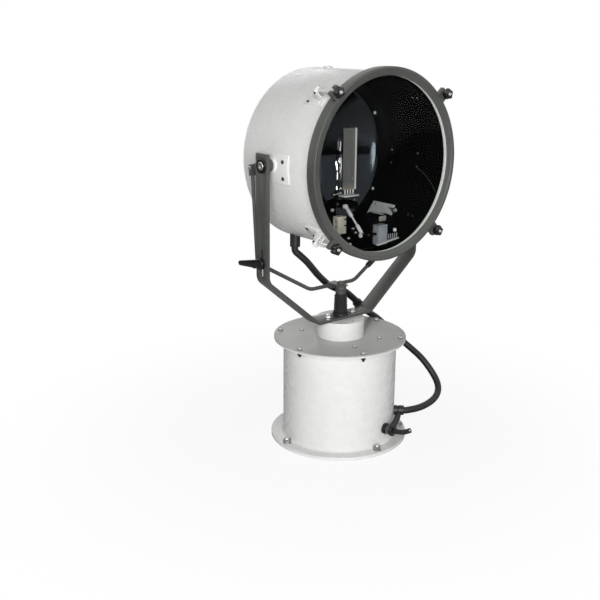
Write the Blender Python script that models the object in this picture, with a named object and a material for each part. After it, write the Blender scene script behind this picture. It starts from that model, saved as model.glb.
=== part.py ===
"""Marine searchlight on a pedestal, with a push rod that tilts the lamp through a bow and two links.

Metres, +Z up. The beam leaves towards -Y, the tilt axis runs along X, and the origin is the centre of the
base flange's underside.
"""
import math

import bmesh
import bpy
from mathutils import Matrix, Vector

# Clearances
GAP = 0.0003
RUNNING_GAP = 0.0005

# Reach of a cutter past the face it goes through, and of a rounded or bevelled edge
CUT_MARGIN = 0.003
EDGE = 0.0015

# Facets of round pieces
SMALL = 6
COARSE = 12
MEDIUM = 16
LARGE = 32
FINE = 48

# Pedestal
BASE_RADIUS = 0.170
BASE_THICKNESS = 0.008
DRUM_RADIUS = 0.1398
DRUM_WALL = 0.003
DRUM_TOP = 0.256
WELD = 0.003
RIM_RADIUS = 0.1632
RIM_THICKNESS = 0.003
RIM_BORE = 0.125
TOP_PLATE_THICKNESS = 0.003
TOP_PLATE_BORE = 0.034
RIM_BOLT_CIRCLE = 0.151
RIM_BOLT_COUNT = 6
RIM_BOLT_PHASE = 10
RIM_BOLT_RADIUS = 0.003
RIM_BOLT_HEAD = 0.0055
RIM_BOLT_HEAD_HEIGHT = 0.004
RIM_NUT_HEIGHT = 0.005
RIM_BOLT_TAIL = 0.0075
DECK_BOLT_CIRCLE = 0.155
DECK_BOLT_ANGLES = (175, 266, 326, 86)
DECK_BOLT_RADIUS = 0.005
DECK_WASHER_RADIUS = 0.010
DECK_WASHER_HEIGHT = 0.002
DECK_NUT_RADIUS = 0.0092
DECK_NUT_HEIGHT = 0.008
DECK_BOLT_TAIL = 0.003

# Bearing, pan gear and pan motor
HOUSING_FLANGE_RADIUS = 0.115
HOUSING_FLANGE = 0.008
HOUSING_RADIUS = 0.045
HOUSING_HEIGHT = 0.055
SPINDLE_RADIUS = 0.030
SPINDLE_LENGTH = 0.110
ROD_BORE = 0.0148
GEAR_MODULE = 0.003
GEAR_ROOT = 1.25
GEAR_TIP = 0.85
TOOTH_CORNERS = (-0.30, -0.12, 0.12, 0.30)
GEAR_TEETH = 40
PINION_TEETH = 12
GEAR_WIDTH = 0.010
GEAR_DROP = 0.070
PINION_EXTRA = 0.002
PAN_MOTOR_RADIUS = 0.028
PAN_MOTOR_LENGTH = 0.050
PAN_SHAFT_RADIUS = 0.005

# Turntable
TURNTABLE_RADIUS = 0.0592
TURNTABLE_HEIGHT = 0.0443
TURNTABLE_WALL = 0.006
TURNTABLE_LIFT = 0.0004

# Yoke, a flat strap bent to shape
YOKE_CLEARANCE = 0.0321
YOKE_BASE_HALF = 0.0848
YOKE_BEND_HEIGHT = 0.4326
YOKE_TOP = 0.7222
STRAP_WIDTH = 0.0429
STRAP_THICKNESS = 0.0062
UPPER_BEND = 0.030
LOWER_BEND = 0.010
YOKE_BOLT_SPACING = 0.077
YOKE_BOLT_RADIUS = 0.004
YOKE_BOLT_HEAD = 0.0075
YOKE_BOLT_HEAD_HEIGHT = 0.006
YOKE_BOLT_DEPTH = 0.018
SLOT_HEIGHT = 0.475
SLOT_HALF_LENGTH = 0.034
SLOT_HALF_WIDTH = 0.005
SLOT_FORWARD = 0.0017

# Tilt axis, trunnions and cranks
TILT_AXIS = 0.6955
SHAFT_RADIUS = 0.0095
SHAFT_PROUD = 0.0043
BUSH_RADIUS = 0.0135
BUSH_FLANGE_RADIUS = 0.0165
BUSH_FLANGE = 0.0025
BUSH_INNER_PROUD = 0.002
TRUNNION_PLATE = 0.005
TRUNNION_PLATE_HALF_DEPTH = 0.059
TRUNNION_PLATE_HALF_HEIGHT = 0.034
TRUNNION_PLATE_DROP = 0.008
TRUNNION_SCREW_DEPTH = 0.039
TRUNNION_SCREW_HEIGHT = 0.0185
TRUNNION_SCREW_RADIUS = 0.004
TRUNNION_SCREW_HEAD = 0.001
CRANK_LENGTH = 0.0625
CRANK_SLOPE = 11
CRANK_THICKNESS = 0.005
CRANK_HUB_RADIUS = 0.015
CRANK_EYE_RADIUS = 0.0065
LINK_INSET = 0.0189
LINK_PIN_RADIUS = 0.0025
LINK_RADIUS = 0.004
CLEVIS_TINE = 0.003
CLEVIS_DEPTH = 0.012
CLEVIS_ABOVE = 0.0075
CLEVIS_BELOW = 0.018
CLEVIS_SLOT_BELOW = 0.0115
LINK_EYE_RADIUS = 0.0078
LINK_EYE_THICKNESS = 0.004
LINK_SLOT_RADIUS = 0.0038
LINK_SLOT_TRAVEL = 0.0039
PIN_HEAD_RADIUS = 0.0045
PIN_HEAD = 0.003

# Push rod, bow and clamp lever
BOW_PIN_Y = 0.044
BOW_PIN_Z = 0.4615
BOW_RADIUS = 0.004
BOW_BACK = 0.031
BOW_BEND_X = 0.071
BOW_BELOW_HEAD_TOP = 0.004
BOW_END_INSET = 0.0063
BOW_BEND = 0.020
ROD_RADIUS = 0.011
ROD_BOTTOM = 0.105
ROD_HEAD_RADIUS = 0.0155
ROD_HEAD_HEIGHT = 0.019
BOW_BOLT_RADIUS = 0.005
BOW_BOLT_HEAD = 0.0098
BOW_BOLT_HEAD_HEIGHT = 0.0075
BOW_BOLT_DEPTH = 0.020
SADDLE_THICKNESS = 0.0037
SADDLE_HALF = 0.0125
SADDLE_BLOCK = 0.0065
TAB_THICKNESS = 0.0027
TAB_INSET = 0.0016
TAB_RADIUS = 0.009
STUD_RADIUS = 0.004
STUD_HEAD_RADIUS = 0.0065
STUD_HEAD = 0.002
HUB_RADIUS = 0.013
HUB_THICKNESS = 0.008
LEVER_REACH = 0.076
LEVER_DROP = 9
LEVER_THICKNESS = 0.006
LEVER_ROOT_RADIUS = 0.0075
LEVER_TIP_RADIUS = 0.0048
GUIDE_FLANGE_RADIUS = 0.021
GUIDE_FLANGE = 0.0035
GUIDE_DEPTH = 0.020
BELLOWS_LENGTH = 0.0497
BELLOWS_BORE = 0.0125
BELLOWS_LOW_RADIUS = 0.024
BELLOWS_HIGH_RADIUS = 0.022
BELLOWS_FOLD = 0.0045
BELLOWS_RIBS = 8
BELLOWS_FACETS = 20
BELLOWS_CUFF = 0.003
BELLOWS_CUFF_RADIUS = 0.0185
ACTUATOR_RADIUS = 0.026
ACTUATOR_BOTTOM = 0.045
ACTUATOR_FLANGE = 0.005
ACTUATOR_BORE_BOTTOM = 0.080

# Lamp barrel, about an axis along Y at the tilt axis
BARREL_RADIUS = 0.2056
BARREL_WALL = 0.002
BARREL_REAR = 0.112
BARREL_REAR_LIP = 0.0096
REFLECTOR_SEAT_OVERLAP = 0.0005
REFLECTOR_SEAT_FRONT = 0.060
REFLECTOR_SEAT = 0.0044
COVER_RIM = 0.009
COVER_DEPTH = 0.0317
BEZEL_WALL = 0.011
BEZEL_FRONT = -0.1552
BEZEL_SKIRT = 0.0255
BEZEL_ROUND = 0.004
BEZEL_REACH = 0.0086
BEZEL_DISH = 0.006
BEZEL_LIP = 0.0025
GLASS_INSET = 0.0051
GLASS_THICKNESS = 0.005
GASKET_WALL = 0.0037
GASKET_LEG = 0.0017
GASKET_REACH = 0.0030

# Four clamps round the bezel: angle from +X in the XZ plane
CLAMP_ANGLES = (134, 41.6, -46, -133.6)
CLAMP_STANDOFF = 0.0254
CLAMP_PIVOT_Y = -0.093
SWING_BOLT_RADIUS = 0.0035
SWING_EYE_RADIUS = 0.0065
SWING_EYE_HALF = 0.004
SWING_PIN_RADIUS = 0.0025
SWING_BOLT_TIP = 0.002
KNOB_RADIUS = 0.0112
KNOB_LENGTH = 0.015
KNOB_LIFT = 0.0007
KNOB_LOBES = 6
KNOB_LOBE_DEPTH = 0.0009
LUG_HALF_WIDTH = 0.013
LUG_DEPTH = 0.012
LUG_BEYOND_BOLT = 0.0075
LUG_SLOT_HALF = 0.004
BRACKET_HALF_WIDTH = 0.020
BRACKET_FRONT = -0.104
BRACKET_BACK = -0.044
BRACKET_THICKNESS = 0.0025
EAR_THICKNESS = 0.003
EAR_BACK = -0.080
EAR_BEYOND_PIN = 0.0055

# Reflector, lamp and focus drive inside the barrel
REFLECTOR_DEPTH = 0.0653
REFLECTOR_INSET = 0.0286
REFLECTOR_THICKNESS = 0.0015
REFLECTOR_FLANGE = 0.009
TRAY_RISE = 0.0151
TRAY_THICKNESS = 0.003
TRAY_FRONT = -0.128
TRAY_BACK = 0.052
POST_HALF_WIDTH = 0.014
POST_FRONT = 0.040
POST_THICKNESS = 0.003
RAIL_HALF_WIDTH = 0.010
RAIL_FRONT = -0.048
RAIL_BELOW_AXIS = 0.1055
RAIL_THICKNESS = 0.007
CARRIAGE_FRONT = -0.040
CARRIAGE_BACK = 0.028
CARRIAGE_THICKNESS = 0.006
CHEEK_THICKNESS = 0.0032
CHEEK_DEPTH = 0.012
HOLDER_RADIUS = 0.013
HOLDER_Y = 0.010
LAMP_PLATE_RADIUS = 0.028
LAMP_PLATE_ABOVE_RAIL = 0.016
LAMP_PLATE_THICKNESS = 0.0025
HOLDER_HEIGHT = 0.030
BULB_BASE_RADIUS = 0.0105
BULB_RADIUS = 0.0135
BULB_HEIGHT = 0.130
HOOD_HALF_WIDTH = 0.020
HOOD_FRONT = -0.0265
HOOD_BACK = -0.008
HOOD_HEIGHT = 0.178
HOOD_THICKNESS = 0.0015
TERMINAL_X = (0.000, 0.026)
TERMINAL_Y = (0.014, 0.033)
TERMINAL_CLEARANCE = 0.0317
FOCUS_BOX_X = (0.000, 0.028)
FOCUS_BOX_Y = (-0.128, -0.107)
FOCUS_BOX_HEIGHT = 0.046
FOCUS_SHAFT_HEIGHT = 0.0255
FOCUS_SHAFT_RADIUS = 0.003
FOCUS_SHAFT_DEPTH = 0.006
FOCUS_LINK_X = -0.016
FOCUS_LINK_HALF = 0.002
FOCUS_PIN_RADIUS = 0.0015
FOCUS_CRANK = (0.0255, -0.0055)
FOCUS_CRANK_THICKNESS = 0.0035
CARRIAGE_PIN_SETBACK = 0.010
CARRIAGE_PIN_DROP = 0.0037
FOCUS_EYE_RADIUS = 0.0055
FOCUS_PIN_EYE_RADIUS = 0.0045
FOCUS_SLOT_RADIUS = 0.0022
FOCUS_SLOT_TRAVEL = 0.0014
IGNITER_Y = (-0.085, -0.035)
IGNITER_LEFT = 0.032
IGNITER_FLOOR_RIGHT = 0.066
IGNITER_RIGHT = 0.096
IGNITER_KNEE = 0.016
IGNITER_SHOULDER = 0.046
IGNITER_TOP = 0.058

# Conduit and control cable
CONDUIT_RADIUS = 0.0085
CONDUIT_STEP = 0.0204
GLAND_RADIUS = 0.0125
GLAND_LENGTH = 0.025
GLAND_SOCKET = 0.010
NIPPLE_RADIUS = 0.0077
CONDUIT_GLAND_ANGLE = -42.8
CONDUIT_GLAND_HEIGHT = 0.060
CABLE_GLAND_ANGLE = -78
CABLE_GLAND_HEIGHT = 0.047
CABLE_GLAND_RADIUS = 0.0137
CABLE_GLAND_WAIST = 0.0105
CABLE_GLAND_LENGTH = 0.028
CABLE_RADIUS = 0.006
CABLE_LENGTH = 0.056
CABLE_RISE = 10
CABLE_SOCKET = 0.008
LEAD_RADIUS = 0.0055
LEAD_CIRCLE = 0.151
LEAD_HIGH = 0.055
LEAD_LOW = 0.0465
BARREL_GLAND_X = -0.080
BARREL_GLAND_Y = 0.080
BARREL_GLAND_LENGTH = 0.0276
CLIP_X = 0.0958
CLIP_Y = 0.046
CLIP_RING = 0.0035
CLIP_RING_LENGTH = 0.0075
CLIP_PLATE = 0.0025
CLIP_HALF_WIDTH = 0.008
CLIP_TAB_FRONT = -0.010
CLIP_SPLIT = 0.003

# Points that the conduit passes: first from the barrel gland's end, then down to the clip and on to the drum
GLAND_ROUTE = [(0.010, -0.006, -0.0225), (0.028, -0.014, -0.042)]
UPPER_ROUTE = [
    (-0.0215, 0.060, 0.400), (0.0063, 0.054, 0.3733), (0.033, 0.050, 0.3579), (0.057, 0.048, 0.3475),
    (0.0774, 0.046, 0.331),
]
LOWER_ROUTE = [
    (0.126, 0.052, 0.2882), (0.1519, 0.060, 0.2703), (0.1779, 0.060, 0.2552), (0.2015, 0.045, 0.228),
    (0.2293, 0.030, 0.1979), (0.2426, 0.012, 0.1801), (0.2516, -0.010, 0.1644), (0.2570, -0.035, 0.1507),
    (0.2631, -0.060, 0.1281), (0.2671, -0.082, 0.1041), (0.2618, -0.102, 0.0849), (0.2436, -0.114, 0.0710),
    (0.2101, -0.124, 0.0642),
]
APPROACH_REACH = (0.0499, 0.0276)
APPROACH_RISE = (0.0013, 0.0)
APPROACH_ANGLES = (6.27, 2.56)

# Places that follow from the sizes above
TOP_PLATE_BOTTOM = DRUM_TOP + GAP
DECK = TOP_PLATE_BOTTOM + TOP_PLATE_THICKNESS
TURNTABLE_BOTTOM = DECK + TURNTABLE_LIFT
TURNTABLE_TOP = TURNTABLE_BOTTOM + TURNTABLE_HEIGHT
SPINDLE_BOTTOM = TURNTABLE_BOTTOM - SPINDLE_LENGTH
YOKE_BOTTOM = TURNTABLE_TOP + GAP
STRAP_TOP = YOKE_BOTTOM + STRAP_THICKNESS
GUIDE_TOP = STRAP_TOP + GAP + GUIDE_FLANGE
ROD_HEAD_BOTTOM = GUIDE_TOP + BELLOWS_LENGTH
ROD_HEAD_TOP = ROD_HEAD_BOTTOM + ROD_HEAD_HEIGHT
BOW_LOW_Z = ROD_HEAD_TOP - BOW_BELOW_HEAD_TOP
YOKE_HALF_SPAN = BARREL_RADIUS + YOKE_CLEARANCE
LINK_X = YOKE_HALF_SPAN - LINK_INSET
ARM_INNER = YOKE_HALF_SPAN - STRAP_THICKNESS
TAB_OUTER = ARM_INNER - GAP - TAB_INSET
TAB_INNER = TAB_OUTER - TAB_THICKNESS
BARREL_INNER = BARREL_RADIUS - BARREL_WALL
CRANK_PIN_Y = CRANK_LENGTH * math.cos(math.radians(CRANK_SLOPE))
CRANK_PIN_Z = TILT_AXIS - CRANK_LENGTH * math.sin(math.radians(CRANK_SLOPE))
GEAR_TOP = DECK - GEAR_DROP
PINION_X = GEAR_MODULE * (GEAR_TEETH + PINION_TEETH) / 2
BEZEL_RADIUS = BARREL_RADIUS + BEZEL_WALL
BEZEL_BORE = BARREL_RADIUS - BEZEL_REACH
GLASS_RADIUS = BARREL_RADIUS - GLASS_INSET
GASKET_BORE = GLASS_RADIUS - GASKET_REACH
CLAMP_RADIUS = BARREL_RADIUS + CLAMP_STANDOFF
REFLECTOR_RADIUS = BARREL_RADIUS - REFLECTOR_INSET
REFLECTOR_SEAT_BORE = REFLECTOR_RADIUS - REFLECTOR_SEAT_OVERLAP
TRAY_BOTTOM = TILT_AXIS - BARREL_RADIUS + TRAY_RISE
TRAY_TOP = TRAY_BOTTOM + TRAY_THICKNESS
RAIL_TOP = TILT_AXIS - RAIL_BELOW_AXIS
LAMP_PLATE_HEIGHT = RAIL_TOP + LAMP_PLATE_ABOVE_RAIL
HOLDER_TOP = RAIL_TOP + HOLDER_HEIGHT
HOOD_TOP = RAIL_TOP + HOOD_HEIGHT
BARREL_UNDERSIDE = TILT_AXIS - math.sqrt(BARREL_RADIUS ** 2 - BARREL_GLAND_X ** 2)
BARREL_GLAND_BOTTOM = BARREL_UNDERSIDE - BARREL_GLAND_LENGTH
GASKET_FRONT = BEZEL_FRONT + BEZEL_DISH + BEZEL_LIP + GAP
GLASS_FRONT = GASKET_FRONT + GASKET_LEG + GAP
GLASS_BACK = GLASS_FRONT + GLASS_THICKNESS
GASKET_BACK = GLASS_BACK + GAP + GASKET_LEG
GASKET_RADIUS = GLASS_RADIUS + GAP + GASKET_WALL
BARREL_FRONT = GASKET_BACK + GAP
FOCUS_SHAFT = (sum(FOCUS_BOX_Y) / 2, TRAY_TOP + GAP + FOCUS_SHAFT_HEIGHT)
FOCUS_PIN = (FOCUS_SHAFT[0] + FOCUS_CRANK[0], FOCUS_SHAFT[1] + FOCUS_CRANK[1])
FOCUS_END = (CARRIAGE_FRONT + CARRIAGE_PIN_SETBACK, RAIL_TOP - CARRIAGE_PIN_DROP)
STRAP_SLOPE = math.atan2(YOKE_BEND_HEIGHT - YOKE_BOTTOM, YOKE_HALF_SPAN - YOKE_BASE_HALF)

# Colour, roughness and metallic value of each finish
WHITE_PAINT = ((0.80, 0.80, 0.78), 0.35, 0.0)
GREY_PAINT = ((0.075, 0.080, 0.073), 0.50, 0.0)
PLATE_PAINT = ((0.45, 0.45, 0.43), 0.45, 0.0)
STAINLESS = ((0.62, 0.62, 0.60), 0.30, 1.0)
STEEL = ((0.35, 0.35, 0.34), 0.40, 1.0)
BRONZE = ((0.42, 0.30, 0.14), 0.40, 1.0)
RUBBER = ((0.012, 0.012, 0.012), 0.65, 0.0)
BLACK_PLASTIC = ((0.015, 0.015, 0.016), 0.30, 0.0)
BLACK_PAINT = ((0.010, 0.011, 0.011), 0.80, 0.0)
MIRROR = ((0.90, 0.90, 0.88), 0.05, 1.0)
GLASS = ((0.90, 0.94, 0.92), 0.02, 0.0)
CERAMIC = ((0.55, 0.50, 0.36), 0.60, 0.0)
TINNED = ((0.30, 0.32, 0.34), 0.45, 0.6)

CARRIERS = {}


def clear_scene():
    for old in list(bpy.data.objects):
        bpy.data.objects.remove(old, do_unlink=True)


def carrier(name, place, parent=None):
    """Empty on a joint axis, which carries the pieces that move with it."""
    empty = bpy.data.objects.new(name, None)
    bpy.context.collection.objects.link(empty)
    empty.empty_display_size = 0.05
    CARRIERS[name] = Vector(place)
    empty.location = CARRIERS[name]
    if parent:
        empty.parent = bpy.data.objects[parent]
        empty.location = CARRIERS[name] - CARRIERS[parent]


def finish(obj, look):
    colour, roughness, metallic = look
    material = bpy.data.materials.new(obj.name)
    material.use_nodes = True
    shader = material.node_tree.nodes["Principled BSDF"]
    shader.inputs["Base Color"].default_value = (*colour, 1.0)
    shader.inputs["Roughness"].default_value = roughness
    shader.inputs["Metallic"].default_value = metallic
    material.diffuse_color = (*colour, 1.0)
    obj.data.materials.append(material)


def object_from(name, shape):
    bmesh.ops.recalc_face_normals(shape, faces=shape.faces)
    mesh = bpy.data.meshes.new(name)
    shape.to_mesh(mesh)
    shape.free()
    obj = bpy.data.objects.new(name, mesh)
    bpy.context.collection.objects.link(obj)
    return obj


def solid(name, shape, look, steps=(), pivot=None, carried_by=None):
    """Object from a shape, with Boolean steps in order, its origin on its pivot, hung on its carrier."""
    obj = object_from(name, shape)
    finish(obj, look)
    obj.data.shade_smooth()
    obj.data.set_sharp_from_angle(angle=math.radians(35))
    for number, (operation, tool_shape) in enumerate(steps):
        tool = object_from(f"{name}_tool_{number}", tool_shape)
        tool.display_type = "WIRE"
        tool.hide_render = True
        step = obj.modifiers.new(tool.name, "BOOLEAN")
        step.operation = operation
        step.solver = "EXACT"
        step.object = tool
    base = CARRIERS[carried_by] if carried_by else Vector((0, 0, 0))
    place = Vector(pivot) if pivot else base
    obj.data.transform(Matrix.Translation(-place))
    obj.location = place - base
    if carried_by:
        obj.parent = bpy.data.objects[carried_by]
    return obj


def merged(shapes):
    """One shape from several that don't touch."""
    whole = bmesh.new()
    for shape in shapes:
        bmesh.ops.recalc_face_normals(shape, faces=shape.faces)
        mesh = bpy.data.meshes.new("merged")
        shape.to_mesh(mesh)
        shape.free()
        whole.from_mesh(mesh)
        bpy.data.meshes.remove(mesh)
    return whole


def moved(shape, *matrices):
    """Shape after the matrices, the last one first."""
    whole = Matrix.Identity(4)
    for matrix in matrices:
        whole = whole @ matrix
    bmesh.ops.transform(shape, matrix=whole, verts=shape.verts)
    return shape


def turned(profile, segments, lobes=0, lobe_depth=0.0):
    """Closed solid turned about Z from (radius, height) points; a radius of 0 is a pole."""
    shape = bmesh.new()
    outer = max(radius for radius, _ in profile)
    rings = []
    for radius, height in profile:
        if radius == 0:
            rings.append([shape.verts.new((0, 0, height))] * segments)
            continue
        ring = []
        for step in range(segments):
            angle = 2 * math.pi * step / segments
            reach = radius + lobe_depth * math.cos(lobes * angle) * (radius / outer) ** 4
            ring.append(shape.verts.new((reach * math.cos(angle), reach * math.sin(angle), height)))
        rings.append(ring)
    for ring, following in zip(rings, rings[1:] + rings[:1]):
        for step in range(segments):
            after = (step + 1) % segments
            corners = []
            for corner in (ring[step], ring[after], following[after], following[step]):
                if corner not in corners:
                    corners.append(corner)
            if len(corners) > 2:
                shape.faces.new(corners)
    return shape


ALONG_X = Matrix.Rotation(math.pi / 2, 4, "Y")
ALONG_Y = Matrix.Rotation(-math.pi / 2, 4, "X")


def rod(radius, low, high, axis="Z", at=(0, 0, 0), sides=COARSE):
    """Round bar along an axis, between two positions on it, through a point."""
    shape = turned([(0, low), (radius, low), (radius, high), (0, high)], sides)
    turn = {"X": ALONG_X, "Y": ALONG_Y, "Z": Matrix.Identity(4)}[axis]
    return moved(shape, Matrix.Translation(at), turn)


def prism(outline, low, high, axis):
    """Outline in the plane across an axis, extruded from low to high along it."""
    spread = {
        "X": lambda u, v, w: (w, u, v),
        "Y": lambda u, v, w: (u, w, v),
        "Z": lambda u, v, w: (u, v, w),
    }[axis]
    shape = bmesh.new()
    ends = []
    for height in (low, high):
        ring = [shape.verts.new(spread(u, v, height)) for u, v in outline]
        shape.faces.new(ring)
        ends.append(ring)
    count = len(outline)
    for step in range(count):
        after = (step + 1) % count
        shape.faces.new((ends[0][step], ends[0][after], ends[1][after], ends[1][step]))
    return shape


def box(x, y, z):
    outline = [(x[0], y[0]), (x[1], y[0]), (x[1], y[1]), (x[0], y[1])]
    return prism(outline, z[0], z[1], "Z")


def arc(centre, radius, start, end, steps):
    """Points on an arc, its ends included, with angles in degrees."""
    points = []
    for step in range(steps + 1):
        angle = math.radians(start + (end - start) * step / steps)
        points.append((centre[0] + radius * math.cos(angle), centre[1] + radius * math.sin(angle)))
    return points


def two_circle_hull(first, first_radius, second, second_radius, steps=5):
    """Outline of a plate wrapped round two circles, like a link or a tapered lever."""
    reach = math.dist(first, second)
    heading = math.degrees(math.atan2(second[1] - first[1], second[0] - first[0]))
    lean = math.degrees(math.acos((first_radius - second_radius) / reach))
    far = arc(second, second_radius, heading - lean, heading + lean, steps)
    near = arc(first, first_radius, heading + lean, heading + 360 - lean, steps)
    return far + near


def rounded(points, radii, steps=5):
    """Open path whose inner corners are replaced by arcs."""
    path = [Vector(points[0])]
    for before, corner, after, radius in zip(points, points[1:], points[2:], radii):
        corner = Vector(corner)
        back = (Vector(before) - corner).normalized()
        ahead = (Vector(after) - corner).normalized()
        half = back.angle(ahead) / 2
        centre = corner + (back + ahead).normalized() * (radius / math.sin(half))
        start = corner + back * (radius / math.tan(half)) - centre
        end = corner + ahead * (radius / math.tan(half)) - centre
        sweep = start.angle(end)
        for step in range(steps + 1):
            share = step / steps
            mix = start * math.sin((1 - share) * sweep) + end * math.sin(share * sweep)
            path.append(centre + mix / math.sin(sweep))
    path.append(Vector(points[-1]))
    return path


def offset_path(points, distance):
    """Open path moved to its left by a distance, with its corners mitred."""
    moved_points = []
    for index, point in enumerate(points):
        here = Vector(point)
        before = Vector(points[index - 1]) if index else None
        after = Vector(points[index + 1]) if index + 1 < len(points) else None
        into = (here - before).normalized() if before is not None else (after - here).normalized()
        out = (after - here).normalized() if after is not None else into
        left_in = Vector((-into.y, into.x))
        left_out = Vector((-out.y, out.x))
        miter = (left_in + left_out).normalized()
        moved_points.append(here + miter * (distance / miter.dot(left_in)))
    return moved_points


def swept(path, radius, sides=COARSE):
    """Round bar along a path of 3-D points."""
    shape = bmesh.new()
    points = [Vector(point) for point in path]
    side = None
    rings = []
    for index, point in enumerate(points):
        before = points[max(index - 1, 0)]
        after = points[min(index + 1, len(points) - 1)]
        heading = (after - before).normalized()
        reference = side if side is not None else Vector((0, 1, 0))
        side = (reference - heading * reference.dot(heading)).normalized()
        other = heading.cross(side)
        ring = []
        for step in range(sides):
            angle = 2 * math.pi * step / sides
            offset = side * math.cos(angle) + other * math.sin(angle)
            ring.append(shape.verts.new(point + offset * radius))
        rings.append(ring)
    for ring, following in zip(rings, rings[1:]):
        for step in range(sides):
            after = (step + 1) % sides
            shape.faces.new((ring[step], ring[after], following[after], following[step]))
    shape.faces.new(rings[0])
    shape.faces.new(rings[-1])
    return shape


def smooth_route(points, spacing):
    """Points every spacing or so along a Catmull-Rom curve through the route's points."""
    route = [Vector(point) for point in points]
    padded = [route[0] * 2 - route[1]] + route + [route[-1] * 2 - route[-2]]
    curve = [route[0]]
    for before, start, end, after in zip(padded, padded[1:], padded[2:], padded[3:]):
        steps = max(1, round((end - start).length / spacing))
        for step in range(1, steps + 1):
            t = step / steps
            bend = 2 * before - 5 * start + 4 * end - after
            twist = 3 * start - before - 3 * end + after
            curve.append((2 * start + (end - before) * t + bend * t ** 2 + twist * t ** 3) / 2)
    return curve


def cord(name, points, radius, look, spacing, carried_by=None):
    """Flexible tube as a bevelled curve with filled caps."""
    curve = bpy.data.curves.new(name, "CURVE")
    curve.dimensions = "3D"
    curve.bevel_depth = radius
    curve.bevel_resolution = 2
    curve.use_fill_caps = True
    spline = curve.splines.new("POLY")
    base = CARRIERS[carried_by] if carried_by else Vector((0, 0, 0))
    route = smooth_route(points, spacing)
    spline.points.add(len(route) - 1)
    for point, place in zip(spline.points, route):
        point.co = (*(place - base), 1.0)
    obj = bpy.data.objects.new(name, curve)
    bpy.context.collection.objects.link(obj)
    if carried_by:
        obj.parent = bpy.data.objects[carried_by]
    finish(obj, look)
    return obj


def on_circle(radius, degrees, height):
    angle = math.radians(degrees)
    return Vector((radius * math.cos(angle), radius * math.sin(angle), height))


def radial(degrees, height):
    """Frame whose Z axis points straight out from the pedestal's axis at an angle."""
    return Matrix.Translation((0, 0, height)) @ Matrix.Rotation(math.radians(degrees), 4, "Z") @ ALONG_X


def about_lamp(shape):
    """Turned shape whose height becomes its place along the barrel's axis."""
    return moved(shape, Matrix.Translation((0, 0, TILT_AXIS)), ALONG_Y)


def round_lamp(shape, degrees):
    """Shape made at the top of the barrel, with z as its radius, moved round to an angle."""
    turn = Matrix.Rotation(math.radians(90 - degrees), 4, "Y")
    return moved(shape, Matrix.Translation((0, 0, TILT_AXIS)), turn)


# Pedestal

def rim_bolt_angles():
    return [RIM_BOLT_PHASE + 360 * number / RIM_BOLT_COUNT for number in range(RIM_BOLT_COUNT)]


def upright_set(radius, low, high, circle, angles, sides):
    """The same upright bar at each angle round the pedestal."""
    return merged([rod(radius, low, high, at=on_circle(circle, angle, 0), sides=sides) for angle in angles])


def pedestal_drum():
    inner = DRUM_RADIUS - DRUM_WALL
    rim_bottom = DRUM_TOP - RIM_THICKNESS
    profile = [
        (0, 0), (BASE_RADIUS, 0), (BASE_RADIUS, BASE_THICKNESS),
        (DRUM_RADIUS + WELD, BASE_THICKNESS), (DRUM_RADIUS, BASE_THICKNESS + WELD),
        (DRUM_RADIUS, rim_bottom), (RIM_RADIUS, rim_bottom), (RIM_RADIUS, DRUM_TOP),
        (RIM_BORE, DRUM_TOP), (RIM_BORE, rim_bottom), (inner, rim_bottom),
        (inner, BASE_THICKNESS), (0, BASE_THICKNESS),
    ]
    rim_holes = upright_set(RIM_BOLT_RADIUS + GAP, rim_bottom - CUT_MARGIN, DRUM_TOP + CUT_MARGIN,
                            RIM_BOLT_CIRCLE, rim_bolt_angles(), COARSE)
    deck_holes = upright_set(DECK_BOLT_RADIUS + GAP, -CUT_MARGIN, BASE_THICKNESS + CUT_MARGIN,
                             DECK_BOLT_CIRCLE, DECK_BOLT_ANGLES, COARSE)
    entries = ((CONDUIT_GLAND_ANGLE, CONDUIT_GLAND_HEIGHT), (CABLE_GLAND_ANGLE, CABLE_GLAND_HEIGHT))
    wall = (inner - CUT_MARGIN, DRUM_RADIUS + CUT_MARGIN)
    gland_holes = merged([
        moved(rod(NIPPLE_RADIUS + GAP, *wall, sides=MEDIUM), radial(angle, height))
        for angle, height in entries])
    cuts = [("DIFFERENCE", holes) for holes in (rim_holes, deck_holes, gland_holes)]
    solid("pedestal_drum", turned(profile, FINE), WHITE_PAINT, cuts)


def top_plate():
    """Round plate with its six bolts, each with a head above it and a nut under the drum's rim."""
    profile = [
        (TOP_PLATE_BORE, TOP_PLATE_BOTTOM), (RIM_RADIUS, TOP_PLATE_BOTTOM),
        (RIM_RADIUS, DECK), (TOP_PLATE_BORE, DECK),
    ]
    middle = (TOP_PLATE_BOTTOM + DECK) / 2
    nut_top = DRUM_TOP - RIM_THICKNESS - GAP
    nut_bottom = nut_top - RIM_NUT_HEIGHT
    angles = rim_bolt_angles()
    heads = upright_set(RIM_BOLT_HEAD, middle, DECK + RIM_BOLT_HEAD_HEIGHT, RIM_BOLT_CIRCLE, angles, 6)
    shanks = upright_set(
        RIM_BOLT_RADIUS, nut_bottom - RIM_BOLT_TAIL, middle, RIM_BOLT_CIRCLE, angles, SMALL)
    nuts = upright_set(RIM_BOLT_HEAD, nut_bottom, nut_top, RIM_BOLT_CIRCLE, angles, 6)
    unions = [("UNION", shape) for shape in (heads, shanks, nuts)]
    solid("top_plate", turned(profile, FINE), PLATE_PAINT, unions)


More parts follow.
